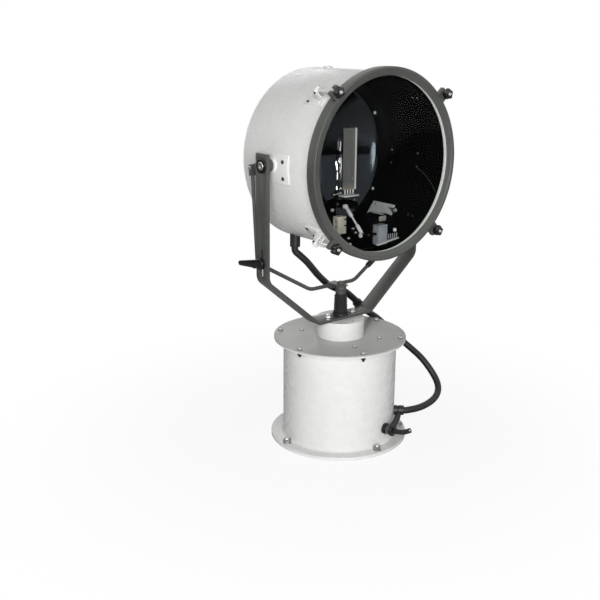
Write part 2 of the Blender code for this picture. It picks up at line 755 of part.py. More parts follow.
def deck_bolts():
    washer_bottom = BASE_THICKNESS + GAP
    washer_top = washer_bottom + DECK_WASHER_HEIGHT
    nut_top = washer_top + DECK_NUT_HEIGHT
    for number, angle in enumerate(DECK_BOLT_ANGLES, 1):
        place = on_circle(DECK_BOLT_CIRCLE, angle, 0)
        washer = rod(DECK_WASHER_RADIUS, washer_bottom, washer_top, at=place, sides=MEDIUM)
        nut = rod(DECK_NUT_RADIUS, washer_bottom, nut_top, at=place, sides=6)
        stud = rod(DECK_BOLT_RADIUS, GAP, nut_top + DECK_BOLT_TAIL, at=place, sides=SMALL)
        solid(f"deck_bolt_{number}", washer, STAINLESS, [("UNION", nut), ("UNION", stud)], pivot=place)


def bearing_housing():
    top = TOP_PLATE_BOTTOM - GAP
    bore = SPINDLE_RADIUS + RUNNING_GAP
    flange_bottom = top - HOUSING_FLANGE
    profile = [
        (bore, top - HOUSING_HEIGHT), (HOUSING_RADIUS, top - HOUSING_HEIGHT),
        (HOUSING_RADIUS, flange_bottom), (HOUSING_FLANGE_RADIUS, flange_bottom),
        (HOUSING_FLANGE_RADIUS, top), (bore, top),
    ]
    solid("bearing_housing", turned(profile, LARGE), STEEL)


def gear_outline(teeth, phase):
    """Teeth with straight flanks, narrow enough to run with backlash; phase turns them, in tooth steps."""
    pitch_radius = GEAR_MODULE * teeth / 2
    step = 2 * math.pi / teeth
    root = pitch_radius - GEAR_ROOT * GEAR_MODULE
    tip = pitch_radius + GEAR_TIP * GEAR_MODULE
    corners = tuple(zip(TOOTH_CORNERS, (root, tip, tip, root)))
    outline = []
    for tooth in range(teeth):
        for share, radius in corners:
            angle = (tooth + phase + share) * step
            outline.append((radius * math.cos(angle), radius * math.sin(angle)))
    return outline


def pan_gear():
    wheel = prism(gear_outline(GEAR_TEETH, 0), GEAR_TOP - GEAR_WIDTH, GEAR_TOP, "Z")
    bore = rod(SPINDLE_RADIUS + GAP, GEAR_TOP - 2 * GEAR_WIDTH, GEAR_TOP + GEAR_WIDTH, sides=LARGE)
    solid("pan_gear", wheel, STEEL, [("DIFFERENCE", bore)], carried_by="pan_axis")


def pan_motor():
    top = TOP_PLATE_BOTTOM - GAP - HOUSING_FLANGE - GAP
    bottom = top - PAN_MOTOR_LENGTH
    place = (PINION_X, 0, 0)
    case = [(0, bottom), (PAN_MOTOR_RADIUS, bottom), (PAN_MOTOR_RADIUS, top), (0, top)]
    shape = moved(turned(case, MEDIUM), Matrix.Translation(place))
    bore = rod(PAN_SHAFT_RADIUS + GAP, bottom - GAP, bottom + 2 * GEAR_WIDTH, at=place)
    solid("pan_motor", shape, BLACK_PAINT, [("DIFFERENCE", bore)])


def pan_pinion():
    """Pinion with the motor's shaft, in mesh with the pan gear."""
    place = (PINION_X, 0, 0)
    low = GEAR_TOP - GEAR_WIDTH - PINION_EXTRA
    high = GEAR_TOP + PINION_EXTRA
    phase = 0.5 + PINION_TEETH / 2
    wheel = moved(prism(gear_outline(PINION_TEETH, phase), low, high, "Z"), Matrix.Translation(place))
    motor_bottom = TOP_PLATE_BOTTOM - HOUSING_FLANGE - 2 * GAP - PAN_MOTOR_LENGTH
    shaft = rod(PAN_SHAFT_RADIUS, low + PINION_EXTRA, motor_bottom + GEAR_WIDTH, at=place)
    solid("pan_pinion", wheel, BRONZE, [("UNION", shaft)], pivot=(*place[:2], low))


# Turntable, tilt actuator and yoke

def turntable_drum():
    ceiling = TURNTABLE_TOP - TURNTABLE_WALL
    inner = TURNTABLE_RADIUS - TURNTABLE_WALL
    profile = [
        (ROD_BORE, TURNTABLE_TOP), (ROD_BORE, SPINDLE_BOTTOM), (SPINDLE_RADIUS, SPINDLE_BOTTOM),
        (SPINDLE_RADIUS, ceiling), (inner, ceiling), (inner, TURNTABLE_BOTTOM),
        (TURNTABLE_RADIUS, TURNTABLE_BOTTOM), (TURNTABLE_RADIUS, TURNTABLE_TOP - EDGE),
        (TURNTABLE_RADIUS - EDGE, TURNTABLE_TOP),
    ]
    through = (ceiling - CUT_MARGIN, TURNTABLE_TOP + CUT_MARGIN)
    holes = merged([
        rod(YOKE_BOLT_RADIUS + GAP, *through, at=(side * YOKE_BOLT_SPACING / 2, 0, 0))
        for side in (-1, 1)])
    solid("turntable_drum", turned(profile, LARGE), WHITE_PAINT, [("DIFFERENCE", holes)],
          carried_by="pan_axis")


def tilt_actuator():
    top = SPINDLE_BOTTOM - GAP
    bore = ROD_RADIUS + RUNNING_GAP
    profile = [
        (0, ACTUATOR_BOTTOM), (ACTUATOR_RADIUS, ACTUATOR_BOTTOM), (ACTUATOR_RADIUS, top - ACTUATOR_FLANGE),
        (SPINDLE_RADIUS, top - ACTUATOR_FLANGE), (SPINDLE_RADIUS, top), (bore, top),
        (bore, ACTUATOR_BORE_BOTTOM), (0, ACTUATOR_BORE_BOTTOM),
    ]
    solid("tilt_actuator", turned(profile, MEDIUM), BLACK_PAINT, carried_by="pan_axis")


def guide_bush():
    bore = ROD_RADIUS + RUNNING_GAP
    sleeve = ROD_BORE - GAP
    flange_bottom = STRAP_TOP + GAP
    profile = [
        (bore, flange_bottom - GUIDE_DEPTH), (sleeve, flange_bottom - GUIDE_DEPTH), (sleeve, flange_bottom),
        (GUIDE_FLANGE_RADIUS, flange_bottom), (GUIDE_FLANGE_RADIUS, GUIDE_TOP), (bore, GUIDE_TOP),
    ]
    solid("guide_bush", turned(profile, MEDIUM), BRONZE, carried_by="pan_axis")


def yoke_path():
    """Outer face of the bent strap, from the left arm's top to the right arm's."""
    return [
        (-YOKE_HALF_SPAN, YOKE_TOP), (-YOKE_HALF_SPAN, YOKE_BEND_HEIGHT), (-YOKE_BASE_HALF, YOKE_BOTTOM),
        (YOKE_BASE_HALF, YOKE_BOTTOM), (YOKE_HALF_SPAN, YOKE_BEND_HEIGHT), (YOKE_HALF_SPAN, YOKE_TOP),
    ]


def yoke():
    outer_radii = (UPPER_BEND, LOWER_BEND, LOWER_BEND, UPPER_BEND)
    inner_radii = [radius - STRAP_THICKNESS for radius in outer_radii]
    outer = rounded(yoke_path(), outer_radii)
    inner = rounded(offset_path(yoke_path(), STRAP_THICKNESS), inner_radii)
    strap = prism([tuple(point) for point in outer + inner[::-1]], -STRAP_WIDTH / 2, STRAP_WIDTH / 2, "Y")
    reach = YOKE_HALF_SPAN + STRAP_THICKNESS
    trunnion_holes = rod(BUSH_RADIUS + GAP, -reach, reach, "X", (0, 0, TILT_AXIS), MEDIUM)
    half = SLOT_HALF_LENGTH - SLOT_HALF_WIDTH
    low = (SLOT_FORWARD, SLOT_HEIGHT - half)
    high = (SLOT_FORWARD, SLOT_HEIGHT + half)
    slot_outline = two_circle_hull(low, SLOT_HALF_WIDTH, high, SLOT_HALF_WIDTH)
    slot = prism(slot_outline, -reach, -ARM_INNER + STRAP_THICKNESS, "X")
    through = (YOKE_BOTTOM - STRAP_THICKNESS, STRAP_TOP + STRAP_THICKNESS)
    base_holes = merged([
        rod(radius + GAP, *through, at=(x, 0, 0), sides=MEDIUM)
        for x, radius in ((-YOKE_BOLT_SPACING / 2, YOKE_BOLT_RADIUS), (0, ROD_BORE - GAP),
                          (YOKE_BOLT_SPACING / 2, YOKE_BOLT_RADIUS))])
    cuts = [("DIFFERENCE", shape) for shape in (trunnion_holes, slot, base_holes)]
    solid("yoke", strap, GREY_PAINT, cuts, carried_by="pan_axis")


def yoke_bolts():
    head_bottom = STRAP_TOP + GAP
    for number, side in enumerate((-1, 1), 1):
        place = (side * YOKE_BOLT_SPACING / 2, 0, 0)
        head = rod(YOKE_BOLT_HEAD, head_bottom, head_bottom + YOKE_BOLT_HEAD_HEIGHT, at=place, sides=6)
        shank = rod(YOKE_BOLT_RADIUS, head_bottom - YOKE_BOLT_DEPTH, head_bottom + GAP, at=place)
        solid(f"yoke_bolt_{number}", head, STAINLESS, [("UNION", shank)], carried_by="pan_axis")


def sides():
    return (("left", -1), ("right", 1))


def trunnion_bushes():
    inner_face = ARM_INNER - BUSH_INNER_PROUD
    flange_face = YOKE_HALF_SPAN + GAP
    bore = SHAFT_RADIUS + GAP
    profile = [
        (bore, inner_face), (BUSH_RADIUS, inner_face), (BUSH_RADIUS, flange_face),
        (BUSH_FLANGE_RADIUS, flange_face), (BUSH_FLANGE_RADIUS, flange_face + BUSH_FLANGE),
        (bore, flange_face + BUSH_FLANGE),
    ]
    for name, side in sides():
        shape = turned([(radius, side * x) for radius, x in profile], MEDIUM)
        placed = moved(shape, Matrix.Translation((0, 0, TILT_AXIS)), ALONG_X)
        solid(f"trunnion_bush_{name}", placed, BLACK_PLASTIC, carried_by="pan_axis")


# Push rod, bow, links and clamp lever

def push_rod():
    bore = BOW_BOLT_RADIUS + GAP
    bore_bottom = ROD_HEAD_TOP - BOW_BOLT_DEPTH - GAP
    profile = [
        (0, ROD_BOTTOM), (ROD_RADIUS, ROD_BOTTOM), (ROD_RADIUS, ROD_HEAD_BOTTOM),
        (ROD_HEAD_RADIUS, ROD_HEAD_BOTTOM), (ROD_HEAD_RADIUS, ROD_HEAD_TOP), (bore, ROD_HEAD_TOP),
        (bore, bore_bottom), (0, bore_bottom),
    ]
    solid("push_rod", turned(profile, MEDIUM), BLACK_PAINT, carried_by="tilt_slide")


def bellows():
    """Rubber bellows between the guide bush and the push rod's head, with straight cuffs."""
    bottom = GUIDE_TOP + GAP
    top = ROD_HEAD_BOTTOM - GAP
    folds_bottom = bottom + BELLOWS_CUFF
    pitch = (top - bottom - 2 * BELLOWS_CUFF) / BELLOWS_RIBS
    profile = [(BELLOWS_BORE, bottom), (BELLOWS_CUFF_RADIUS, bottom)]
    for rib in range(BELLOWS_RIBS):
        crest = BELLOWS_LOW_RADIUS + (BELLOWS_HIGH_RADIUS - BELLOWS_LOW_RADIUS) * rib / (BELLOWS_RIBS - 1)
        low = folds_bottom + rib * pitch
        profile.append((crest - BELLOWS_FOLD, low))
        profile.append((crest, low + pitch / 2))
    profile.append((BELLOWS_HIGH_RADIUS - BELLOWS_FOLD, top - BELLOWS_CUFF))
    profile.append((BELLOWS_HIGH_RADIUS - BELLOWS_FOLD, top))
    profile.append((BELLOWS_BORE, top))
    solid("bellows", turned(profile, BELLOWS_FACETS), RUBBER, carried_by="tilt_slide")


def tilt_bow():
    """Bent bar with a saddle on the push rod's head, pins at its ends and a bossed tab for the clamp stud."""
    end_x = LINK_X - BOW_END_INSET
    corners = [
        (-end_x, BOW_PIN_Y, BOW_PIN_Z), (-BOW_BEND_X, BOW_BACK, BOW_LOW_Z),
        (BOW_BEND_X, BOW_BACK, BOW_LOW_Z), (end_x, BOW_PIN_Y, BOW_PIN_Z),
    ]
    bar = swept(rounded(corners, (BOW_BEND, BOW_BEND), 4), BOW_RADIUS, COARSE)
    plate_bottom = ROD_HEAD_TOP + GAP
    plate_top = plate_bottom + SADDLE_THICKNESS
    block_back = BOW_BACK + SADDLE_BLOCK
    plate = box((-SADDLE_HALF, SADDLE_HALF), (-SADDLE_HALF, block_back), (plate_bottom, plate_top))
    block = box((-SADDLE_HALF + GAP, SADDLE_HALF - GAP), (BOW_BACK - SADDLE_BLOCK, block_back - GAP),
                (BOW_LOW_Z - SADDLE_BLOCK, plate_bottom + SADDLE_THICKNESS / 2))
    bolt_hole = rod(BOW_BOLT_RADIUS + GAP, plate_bottom - CUT_MARGIN, plate_top + CUT_MARGIN)
    head_face = LINK_X + LINK_RADIUS + RUNNING_GAP
    pin_at = (0, BOW_PIN_Y, BOW_PIN_Z)
    pins = merged([
        rod(LINK_PIN_RADIUS, -TAB_INNER - GAP, -end_x + BOW_RADIUS, "X", pin_at),
        rod(LINK_PIN_RADIUS, end_x - BOW_RADIUS, head_face + GAP, "X", pin_at)])
    head = rod(PIN_HEAD_RADIUS, head_face, head_face + PIN_HEAD, "X", pin_at)
    stud_place = (SLOT_FORWARD, SLOT_HEIGHT)
    tab_outline = two_circle_hull(stud_place, TAB_RADIUS, (BOW_PIN_Y, BOW_PIN_Z), LINK_EYE_RADIUS)
    tab = prism(tab_outline, -TAB_OUTER, -TAB_INNER, "X")
    boss = rod(TAB_RADIUS, GAP - ARM_INNER, GAP - TAB_OUTER, "X", (0, *stud_place), MEDIUM)
    stud_hole = rod(STUD_RADIUS + GAP, -YOKE_HALF_SPAN, -LINK_X, "X", (0, *stud_place))
    steps = [
        ("UNION", block), ("UNION", plate), ("UNION", pins), ("UNION", merged([head, tab])),
        ("UNION", boss),
        ("DIFFERENCE", merged([bolt_hole, stud_hole])),
    ]
    solid("tilt_bow", bar, GREY_PAINT, steps, carried_by="tilt_slide")


def bow_bolt():
    bottom = ROD_HEAD_TOP + GAP + SADDLE_THICKNESS + GAP
    head = rod(BOW_BOLT_HEAD, bottom, bottom + BOW_BOLT_HEAD_HEIGHT, sides=6)
    shank = rod(BOW_BOLT_RADIUS, ROD_HEAD_TOP - BOW_BOLT_DEPTH, bottom + GAP)
    solid("bow_bolt", head, STAINLESS, [("UNION", shank)], carried_by="tilt_slide")


def clamp_lever():
    """Hub and lever outside the left arm, with a headed stud through the arm's slot and the bow's tab."""
    hub_face = -YOKE_HALF_SPAN - GAP
    hub_end = hub_face - HUB_THICKNESS
    place = (0, SLOT_FORWARD, SLOT_HEIGHT)
    drop = math.radians(LEVER_DROP)
    tip = (SLOT_FORWARD + LEVER_REACH * math.cos(drop), SLOT_HEIGHT - LEVER_REACH * math.sin(drop))
    edge = EDGE
    hub_profile = [
        (0, hub_face), (HUB_RADIUS, hub_face), (HUB_RADIUS, hub_end + edge),
        (HUB_RADIUS - edge, hub_end), (0, hub_end),
    ]
    hub = moved(turned(hub_profile, MEDIUM), Matrix.Translation(place), ALONG_X)
    outline = two_circle_hull((SLOT_FORWARD, SLOT_HEIGHT), LEVER_ROOT_RADIUS, tip, LEVER_TIP_RADIUS)
    lever = prism(outline, hub_end + GAP, hub_end + LEVER_THICKNESS, "X")
    head_face = GAP - TAB_INNER
    stud = rod(STUD_RADIUS, hub_face - GAP, head_face + GAP, "X", place)
    head = rod(STUD_HEAD_RADIUS, head_face, head_face + STUD_HEAD, "X", place)
    steps = [("UNION", lever), ("UNION", stud), ("UNION", head)]
    pivot = (hub_face, SLOT_FORWARD, SLOT_HEIGHT)
    solid("clamp_lever", hub, BLACK_PLASTIC, steps, pivot=pivot, carried_by="tilt_slide")


def cranks():
    """Cranks keyed on the trunnion shafts, pointing back and a little down."""
    axis = (0, TILT_AXIS)
    pin = (CRANK_PIN_Y, CRANK_PIN_Z)
    half = CRANK_THICKNESS / 2
    hub_end = ARM_INNER - BUSH_INNER_PROUD - GAP
    for name, side in sides():
        ends = sorted((side * (LINK_X - half), side * (LINK_X + half)))
        arm = prism(two_circle_hull(axis, CRANK_HUB_RADIUS, pin, CRANK_EYE_RADIUS), *ends, "X")
        hub_ends = sorted((side * LINK_X, side * hub_end))
        hub = rod(CRANK_HUB_RADIUS - GAP, *hub_ends, "X", (0, *axis), MEDIUM)
        reach = sorted((side * BARREL_RADIUS, side * YOKE_HALF_SPAN))
        bore = rod(SHAFT_RADIUS + GAP, *reach, "X", (0, *axis), MEDIUM)
        pin_hole = rod(LINK_PIN_RADIUS + GAP, *reach, "X", (0, *pin))
        steps = [("UNION", hub), ("DIFFERENCE", bore), ("DIFFERENCE", pin_hole)]
        solid(f"crank_{name}", arm, GREY_PAINT, steps, carried_by="tilt_axis")


def link_rods():
    """Rods from the crank pins down to the bow's pins, with a clevis above and a slotted eye below."""
    back = BOW_PIN_Y - CRANK_PIN_Y
    down = BOW_PIN_Z - CRANK_PIN_Z
    length = math.hypot(back, down)
    lean = Matrix.Rotation(math.asin(back / length), 4, "X")
    half_slot = CRANK_THICKNESS / 2 + GAP
    half_clevis = half_slot + CLEVIS_TINE
    depth = (-CLEVIS_DEPTH / 2, CLEVIS_DEPTH / 2)
    for name, side in sides():
        place = Matrix.Translation((side * LINK_X, CRANK_PIN_Y, CRANK_PIN_Z)) @ lean
        clevis = box((-half_clevis, half_clevis), depth, (-CLEVIS_BELOW, CLEVIS_ABOVE))
        slot = box((-half_slot, half_slot), (-CLEVIS_DEPTH, CLEVIS_DEPTH), (-CLEVIS_SLOT_BELOW, CLEVIS_DEPTH))
        bar = rod(LINK_RADIUS, LINK_EYE_RADIUS / 2 - length, -CLEVIS_BELOW + CUT_MARGIN)
        near = (0, -length)
        far = (LINK_SLOT_TRAVEL, -length)
        half_eye = LINK_EYE_THICKNESS / 2
        eye = prism(two_circle_hull(near, LINK_EYE_RADIUS, far, LINK_EYE_RADIUS), -half_eye, half_eye, "X")
        eye_slot = prism(two_circle_hull(near, LINK_SLOT_RADIUS, far, LINK_SLOT_RADIUS),
                         -CLEVIS_DEPTH, CLEVIS_DEPTH, "X")
        head_face = half_clevis + GAP
        pin_ends = sorted((-side * (half_clevis + GAP), side * (head_face + GAP)))
        pin = rod(LINK_PIN_RADIUS, *pin_ends, "X")
        head_ends = sorted((side * (half_clevis - GAP), side * (half_clevis + PIN_HEAD)))
        head = rod(PIN_HEAD_RADIUS, *head_ends, "X")
        steps = [("UNION", moved(bar, place)), ("UNION", moved(eye, place)),
                 ("DIFFERENCE", moved(merged([slot, eye_slot]), place)),
                 ("UNION", moved(pin, place)), ("UNION", moved(head, place))]
        pivot = (side * LINK_X, CRANK_PIN_Y, CRANK_PIN_Z)
        solid(f"link_rod_{name}", moved(clevis, place), STEEL, steps, pivot=pivot, carried_by="tilt_axis")


# Barrel, covers, glass and trunnions

def clamp_bracket(degrees):
    """Curved pad on the barrel with two ears and a cross pin for the swing bolt."""
    half_angle = math.degrees(BRACKET_HALF_WIDTH / BARREL_RADIUS)
    inner = arc((0, 0), BARREL_RADIUS - BARREL_WALL / 2, 90 - half_angle, 90 + half_angle, 4)
    outer = arc((0, 0), BARREL_RADIUS + BRACKET_THICKNESS, 90 + half_angle, 90 - half_angle, 4)
    pad = prism(inner + outer, BRACKET_FRONT, BRACKET_BACK, "Y")
    foot = BARREL_RADIUS + BRACKET_THICKNESS / 2
    ear_outline = [
        (EAR_BACK, foot), (BRACKET_FRONT, foot),
        *arc((CLAMP_PIVOT_Y, CLAMP_RADIUS), EAR_BEYOND_PIN, 180, 0, 6),
    ]
    inside = SWING_EYE_HALF + GAP
    ears = merged([
        prism(ear_outline, inside, inside + EAR_THICKNESS, "X"),
        prism(ear_outline, -inside - EAR_THICKNESS, -inside, "X")])
    reach = inside + EAR_THICKNESS + GAP
    pin = rod(SWING_PIN_RADIUS, -reach, reach, "X", (0, CLAMP_PIVOT_Y, CLAMP_RADIUS))
    return [round_lamp(shape, degrees) for shape in (pad, ears, pin)]


def barrel():
    seat_back = REFLECTOR_SEAT_FRONT + REFLECTOR_SEAT
    profile = [
        (GASKET_BORE, BARREL_FRONT), (BARREL_RADIUS, BARREL_FRONT), (BARREL_RADIUS, BARREL_REAR),
        (BARREL_RADIUS - BARREL_REAR_LIP, BARREL_REAR),
        (BARREL_RADIUS - BARREL_REAR_LIP, BARREL_REAR - BARREL_WALL),
        (BARREL_INNER, BARREL_REAR - BARREL_WALL), (BARREL_INNER, seat_back),
        (REFLECTOR_SEAT_BORE, seat_back), (REFLECTOR_SEAT_BORE, REFLECTOR_SEAT_FRONT),
        (BARREL_INNER, REFLECTOR_SEAT_FRONT), (BARREL_INNER, BARREL_FRONT + BARREL_WALL),
        (GASKET_BORE, BARREL_FRONT + BARREL_WALL),
    ]
    brackets = [clamp_bracket(angle) for angle in CLAMP_ANGLES]
    pads, ears, pins = (merged(list(shapes)) for shapes in zip(*brackets))
    hole = rod(NIPPLE_RADIUS + GAP, BARREL_GLAND_BOTTOM, TRAY_BOTTOM + GLAND_LENGTH,
               at=(BARREL_GLAND_X, BARREL_GLAND_Y, 0))
    steps = [("UNION", pads), ("UNION", ears), ("UNION", pins), ("DIFFERENCE", hole)]
    solid("barrel", about_lamp(turned(profile, FINE)), WHITE_PAINT, steps, carried_by="tilt_axis")


def rear_cover():
    """Shallow domed cover with a flat rim on the barrel's rear lip."""
    rim_front = BARREL_REAR + GAP
    rim_back = rim_front + BARREL_WALL
    dome_radius = BARREL_RADIUS - COVER_RIM
    sphere = (dome_radius ** 2 + COVER_DEPTH ** 2) / (2 * COVER_DEPTH)
    steps = 5
    outer = []
    for step in range(steps + 1):
        radius = dome_radius * step / steps
        outer.append((radius, rim_back + COVER_DEPTH - sphere + math.sqrt(sphere ** 2 - radius ** 2)))
    inner = [(radius, place - BARREL_WALL) for radius, place in outer]
    rim = [(BARREL_RADIUS, rim_back), (BARREL_RADIUS, rim_front)]
    shape = about_lamp(turned(outer + rim + inner[::-1], FINE))
    solid("rear_cover", shape, WHITE_PAINT, carried_by="tilt_axis")


def bezel():
    """Cast ring round the glass with four forked lugs for the swing bolts."""
    skirt_back = BEZEL_FRONT + BEZEL_SKIRT
    lip_front = BEZEL_FRONT + BEZEL_DISH
    lip_back = lip_front + BEZEL_LIP
    corner = arc((BEZEL_RADIUS - BEZEL_ROUND, BEZEL_FRONT + BEZEL_ROUND), BEZEL_ROUND, 0, -90, 3)
    pocket = GASKET_RADIUS + GAP
    profile = [
        (BARREL_RADIUS + GAP, skirt_back), (BEZEL_RADIUS, skirt_back), *corner,
        (BEZEL_BORE, lip_front), (BEZEL_BORE, lip_back), (pocket, lip_back),
        (pocket, GASKET_BACK), (BARREL_RADIUS + GAP, GASKET_BACK),
    ]
    lug_root = BEZEL_RADIUS - BEZEL_ROUND - GAP
    lug_top = CLAMP_RADIUS + LUG_BEYOND_BOLT
    slot_floor = CLAMP_RADIUS - LUG_SLOT_HALF
    lug_back = BEZEL_FRONT + LUG_DEPTH
    lugs = []
    slots = []
    for angle in CLAMP_ANGLES:
        lug = box((-LUG_HALF_WIDTH, LUG_HALF_WIDTH), (BEZEL_FRONT + GAP, lug_back), (lug_root, lug_top))
        slot = box((-LUG_SLOT_HALF, LUG_SLOT_HALF), (BEZEL_FRONT - LUG_DEPTH, lug_back + LUG_DEPTH),
                   (slot_floor, lug_top + LUG_DEPTH))
        lugs.append(round_lamp(lug, angle))
        slots.append(round_lamp(slot, angle))
    steps = [("UNION", merged(lugs)), ("DIFFERENCE", merged(slots))]
    solid("bezel", about_lamp(turned(profile, FINE)), GREY_PAINT, steps, carried_by="tilt_axis")


def front_glass():
    profile = [(0, GLASS_FRONT), (GLASS_RADIUS, GLASS_FRONT), (GLASS_RADIUS, GLASS_BACK), (0, GLASS_BACK)]
    solid("front_glass", about_lamp(turned(profile, FINE)), GLASS, carried_by="tilt_axis")


def glass_gasket():
    """Rubber channel round the glass's edge."""
    channel = GLASS_RADIUS + GAP
    profile = [
        (GASKET_BORE, GASKET_FRONT), (GASKET_RADIUS, GASKET_FRONT), (GASKET_RADIUS, GASKET_BACK),
        (GASKET_BORE, GASKET_BACK), (GASKET_BORE, GLASS_BACK + GAP), (channel, GLASS_BACK + GAP),
        (channel, GLASS_FRONT - GAP), (GASKET_BORE, GLASS_FRONT - GAP),
    ]
    solid("glass_gasket", about_lamp(turned(profile, FINE)), RUBBER, carried_by="tilt_axis")


def trunnions():
    """Curved plates on the barrel's sides, each with four screws and a shaft through the yoke's bush."""
    inner_radius = BARREL_RADIUS + GAP
    outer_radius = inner_radius + TRUNNION_PLATE
    low = math.degrees(math.asin((-TRUNNION_PLATE_DROP - TRUNNION_PLATE_HALF_HEIGHT) / BARREL_RADIUS))
    high = math.degrees(math.asin((TRUNNION_PLATE_HALF_HEIGHT - TRUNNION_PLATE_DROP) / BARREL_RADIUS))
    outline = arc((0, 0), outer_radius, low, high, 6) + arc((0, 0), inner_radius, high, low, 6)
    shaft_end = YOKE_HALF_SPAN + SHAFT_PROUD
    depth = TRUNNION_PLATE_HALF_DEPTH
    screw_face = outer_radius + TRUNNION_SCREW_HEAD
    for name, side in sides():
        centred = [(side * x, TILT_AXIS + z) for x, z in outline]
        plate = prism(centred, -depth, depth, "Y")
        profile = [
            (0, outer_radius - CUT_MARGIN), (SHAFT_RADIUS, outer_radius - CUT_MARGIN),
            (SHAFT_RADIUS, shaft_end - EDGE), (SHAFT_RADIUS - EDGE, shaft_end),
            (0, shaft_end),
        ]
        shaft = moved(turned([(radius, side * x) for radius, x in profile], MEDIUM),
                      Matrix.Translation((0, 0, TILT_AXIS)), ALONG_X)
        screws = []
        for y in (-TRUNNION_SCREW_DEPTH, TRUNNION_SCREW_DEPTH):
            for z in (-TRUNNION_SCREW_HEIGHT, TRUNNION_SCREW_HEIGHT):
                place = (0, y, TILT_AXIS - TRUNNION_PLATE_DROP + z)
                ends = sorted((side * (inner_radius + GAP), side * (screw_face)))
                screws.append(rod(TRUNNION_SCREW_RADIUS, *ends, "X", place, SMALL))
        steps = [("UNION", shaft), ("UNION", merged(screws))]
        solid(f"trunnion_{name}", plate, WHITE_PAINT, steps, carried_by="tilt_axis")


# Clamps

def clamps():
    """Four swing bolts, each with a lobed knob in front of its lug."""
    knob_back = BEZEL_FRONT - KNOB_LIFT
    knob_front = knob_back - KNOB_LENGTH
    bore = SWING_BOLT_RADIUS + GAP
    edge = EDGE
    for number, angle in enumerate(CLAMP_ANGLES, 1):
        pivot = round_point((0, CLAMP_PIVOT_Y, CLAMP_RADIUS), angle)
        eye = rod(SWING_EYE_RADIUS, -SWING_EYE_HALF, SWING_EYE_HALF, "X", (0, CLAMP_PIVOT_Y, CLAMP_RADIUS))
        shank_ends = (knob_front - SWING_BOLT_TIP, CLAMP_PIVOT_Y - SWING_PIN_RADIUS - 2 * GAP)
        shank = rod(SWING_BOLT_RADIUS, *shank_ends, "Y", (0, 0, CLAMP_RADIUS))
        hole = rod(SWING_PIN_RADIUS + GAP, -CLEVIS_DEPTH, CLEVIS_DEPTH, "X", (0, CLAMP_PIVOT_Y, CLAMP_RADIUS))
        steps = [("UNION", round_lamp(shank, angle)), ("DIFFERENCE", round_lamp(hole, angle))]
        solid(f"swing_bolt_{number}", round_lamp(eye, angle), STAINLESS, steps, pivot=pivot,
              carried_by="tilt_axis")
        profile = [
            (bore, knob_back), (KNOB_RADIUS - edge, knob_back), (KNOB_RADIUS, knob_back - edge),
            (KNOB_RADIUS, knob_front + 2 * edge), (KNOB_RADIUS - 2 * edge, knob_front), (bore, knob_front),
        ]
        knob = turned(profile, 4 * KNOB_LOBES, KNOB_LOBES, KNOB_LOBE_DEPTH)
        placed = round_lamp(moved(knob, Matrix.Translation((0, 0, CLAMP_RADIUS)), ALONG_Y), angle)
        knob_pivot = round_point((0, knob_back, CLAMP_RADIUS), angle)
        solid(f"clamp_knob_{number}", placed, BLACK_PLASTIC, pivot=knob_pivot, carried_by="tilt_axis")


def round_point(point, degrees):
    turn = Matrix.Rotation(math.radians(90 - degrees), 4, "Y")
    return Matrix.Translation((0, 0, TILT_AXIS)) @ turn @ Vector(point)


# Inside the barrel

def reflector():
    """Parabolic dish with a flat flange behind the barrel's seat."""
    steps = 5
    flange_front = REFLECTOR_SEAT_FRONT + REFLECTOR_SEAT + GAP
    front = []
    for step in range(steps + 1):
        share = step / steps
        front.append((REFLECTOR_RADIUS * share, flange_front + REFLECTOR_DEPTH * (1 - share ** 2)))
    back = [(radius, place + REFLECTOR_THICKNESS) for radius, place in front]
    flange_radius = REFLECTOR_RADIUS + REFLECTOR_FLANGE
    flange = [(flange_radius, flange_front), (flange_radius, flange_front + REFLECTOR_THICKNESS)]
    solid("reflector", about_lamp(turned(front + flange + back[::-1], LARGE)), MIRROR,
          carried_by="tilt_axis")


def tray_half_width():
    flat_inner = BARREL_INNER * math.cos(math.pi / FINE)
    return math.sqrt(flat_inner ** 2 - (TILT_AXIS - TRAY_BOTTOM) ** 2) - GAP


def lamp_chassis():
    """Tray on the barrel's floor with a rear post and a rail for the lamp carriage."""
    half = tray_half_width()
    tray = box((-half, half), (TRAY_FRONT, TRAY_BACK), (TRAY_BOTTOM, TRAY_TOP))
    post = box((-POST_HALF_WIDTH, POST_HALF_WIDTH), (POST_FRONT, POST_FRONT + POST_THICKNESS),
               (TRAY_TOP - GAP, RAIL_TOP - GAP))
    rail = box((-RAIL_HALF_WIDTH, RAIL_HALF_WIDTH), (RAIL_FRONT, POST_FRONT + GAP),
               (RAIL_TOP - RAIL_THICKNESS, RAIL_TOP))
    solid("lamp_chassis", tray, BLACK_PAINT, [("UNION", post), ("UNION", rail)], carried_by="tilt_axis")


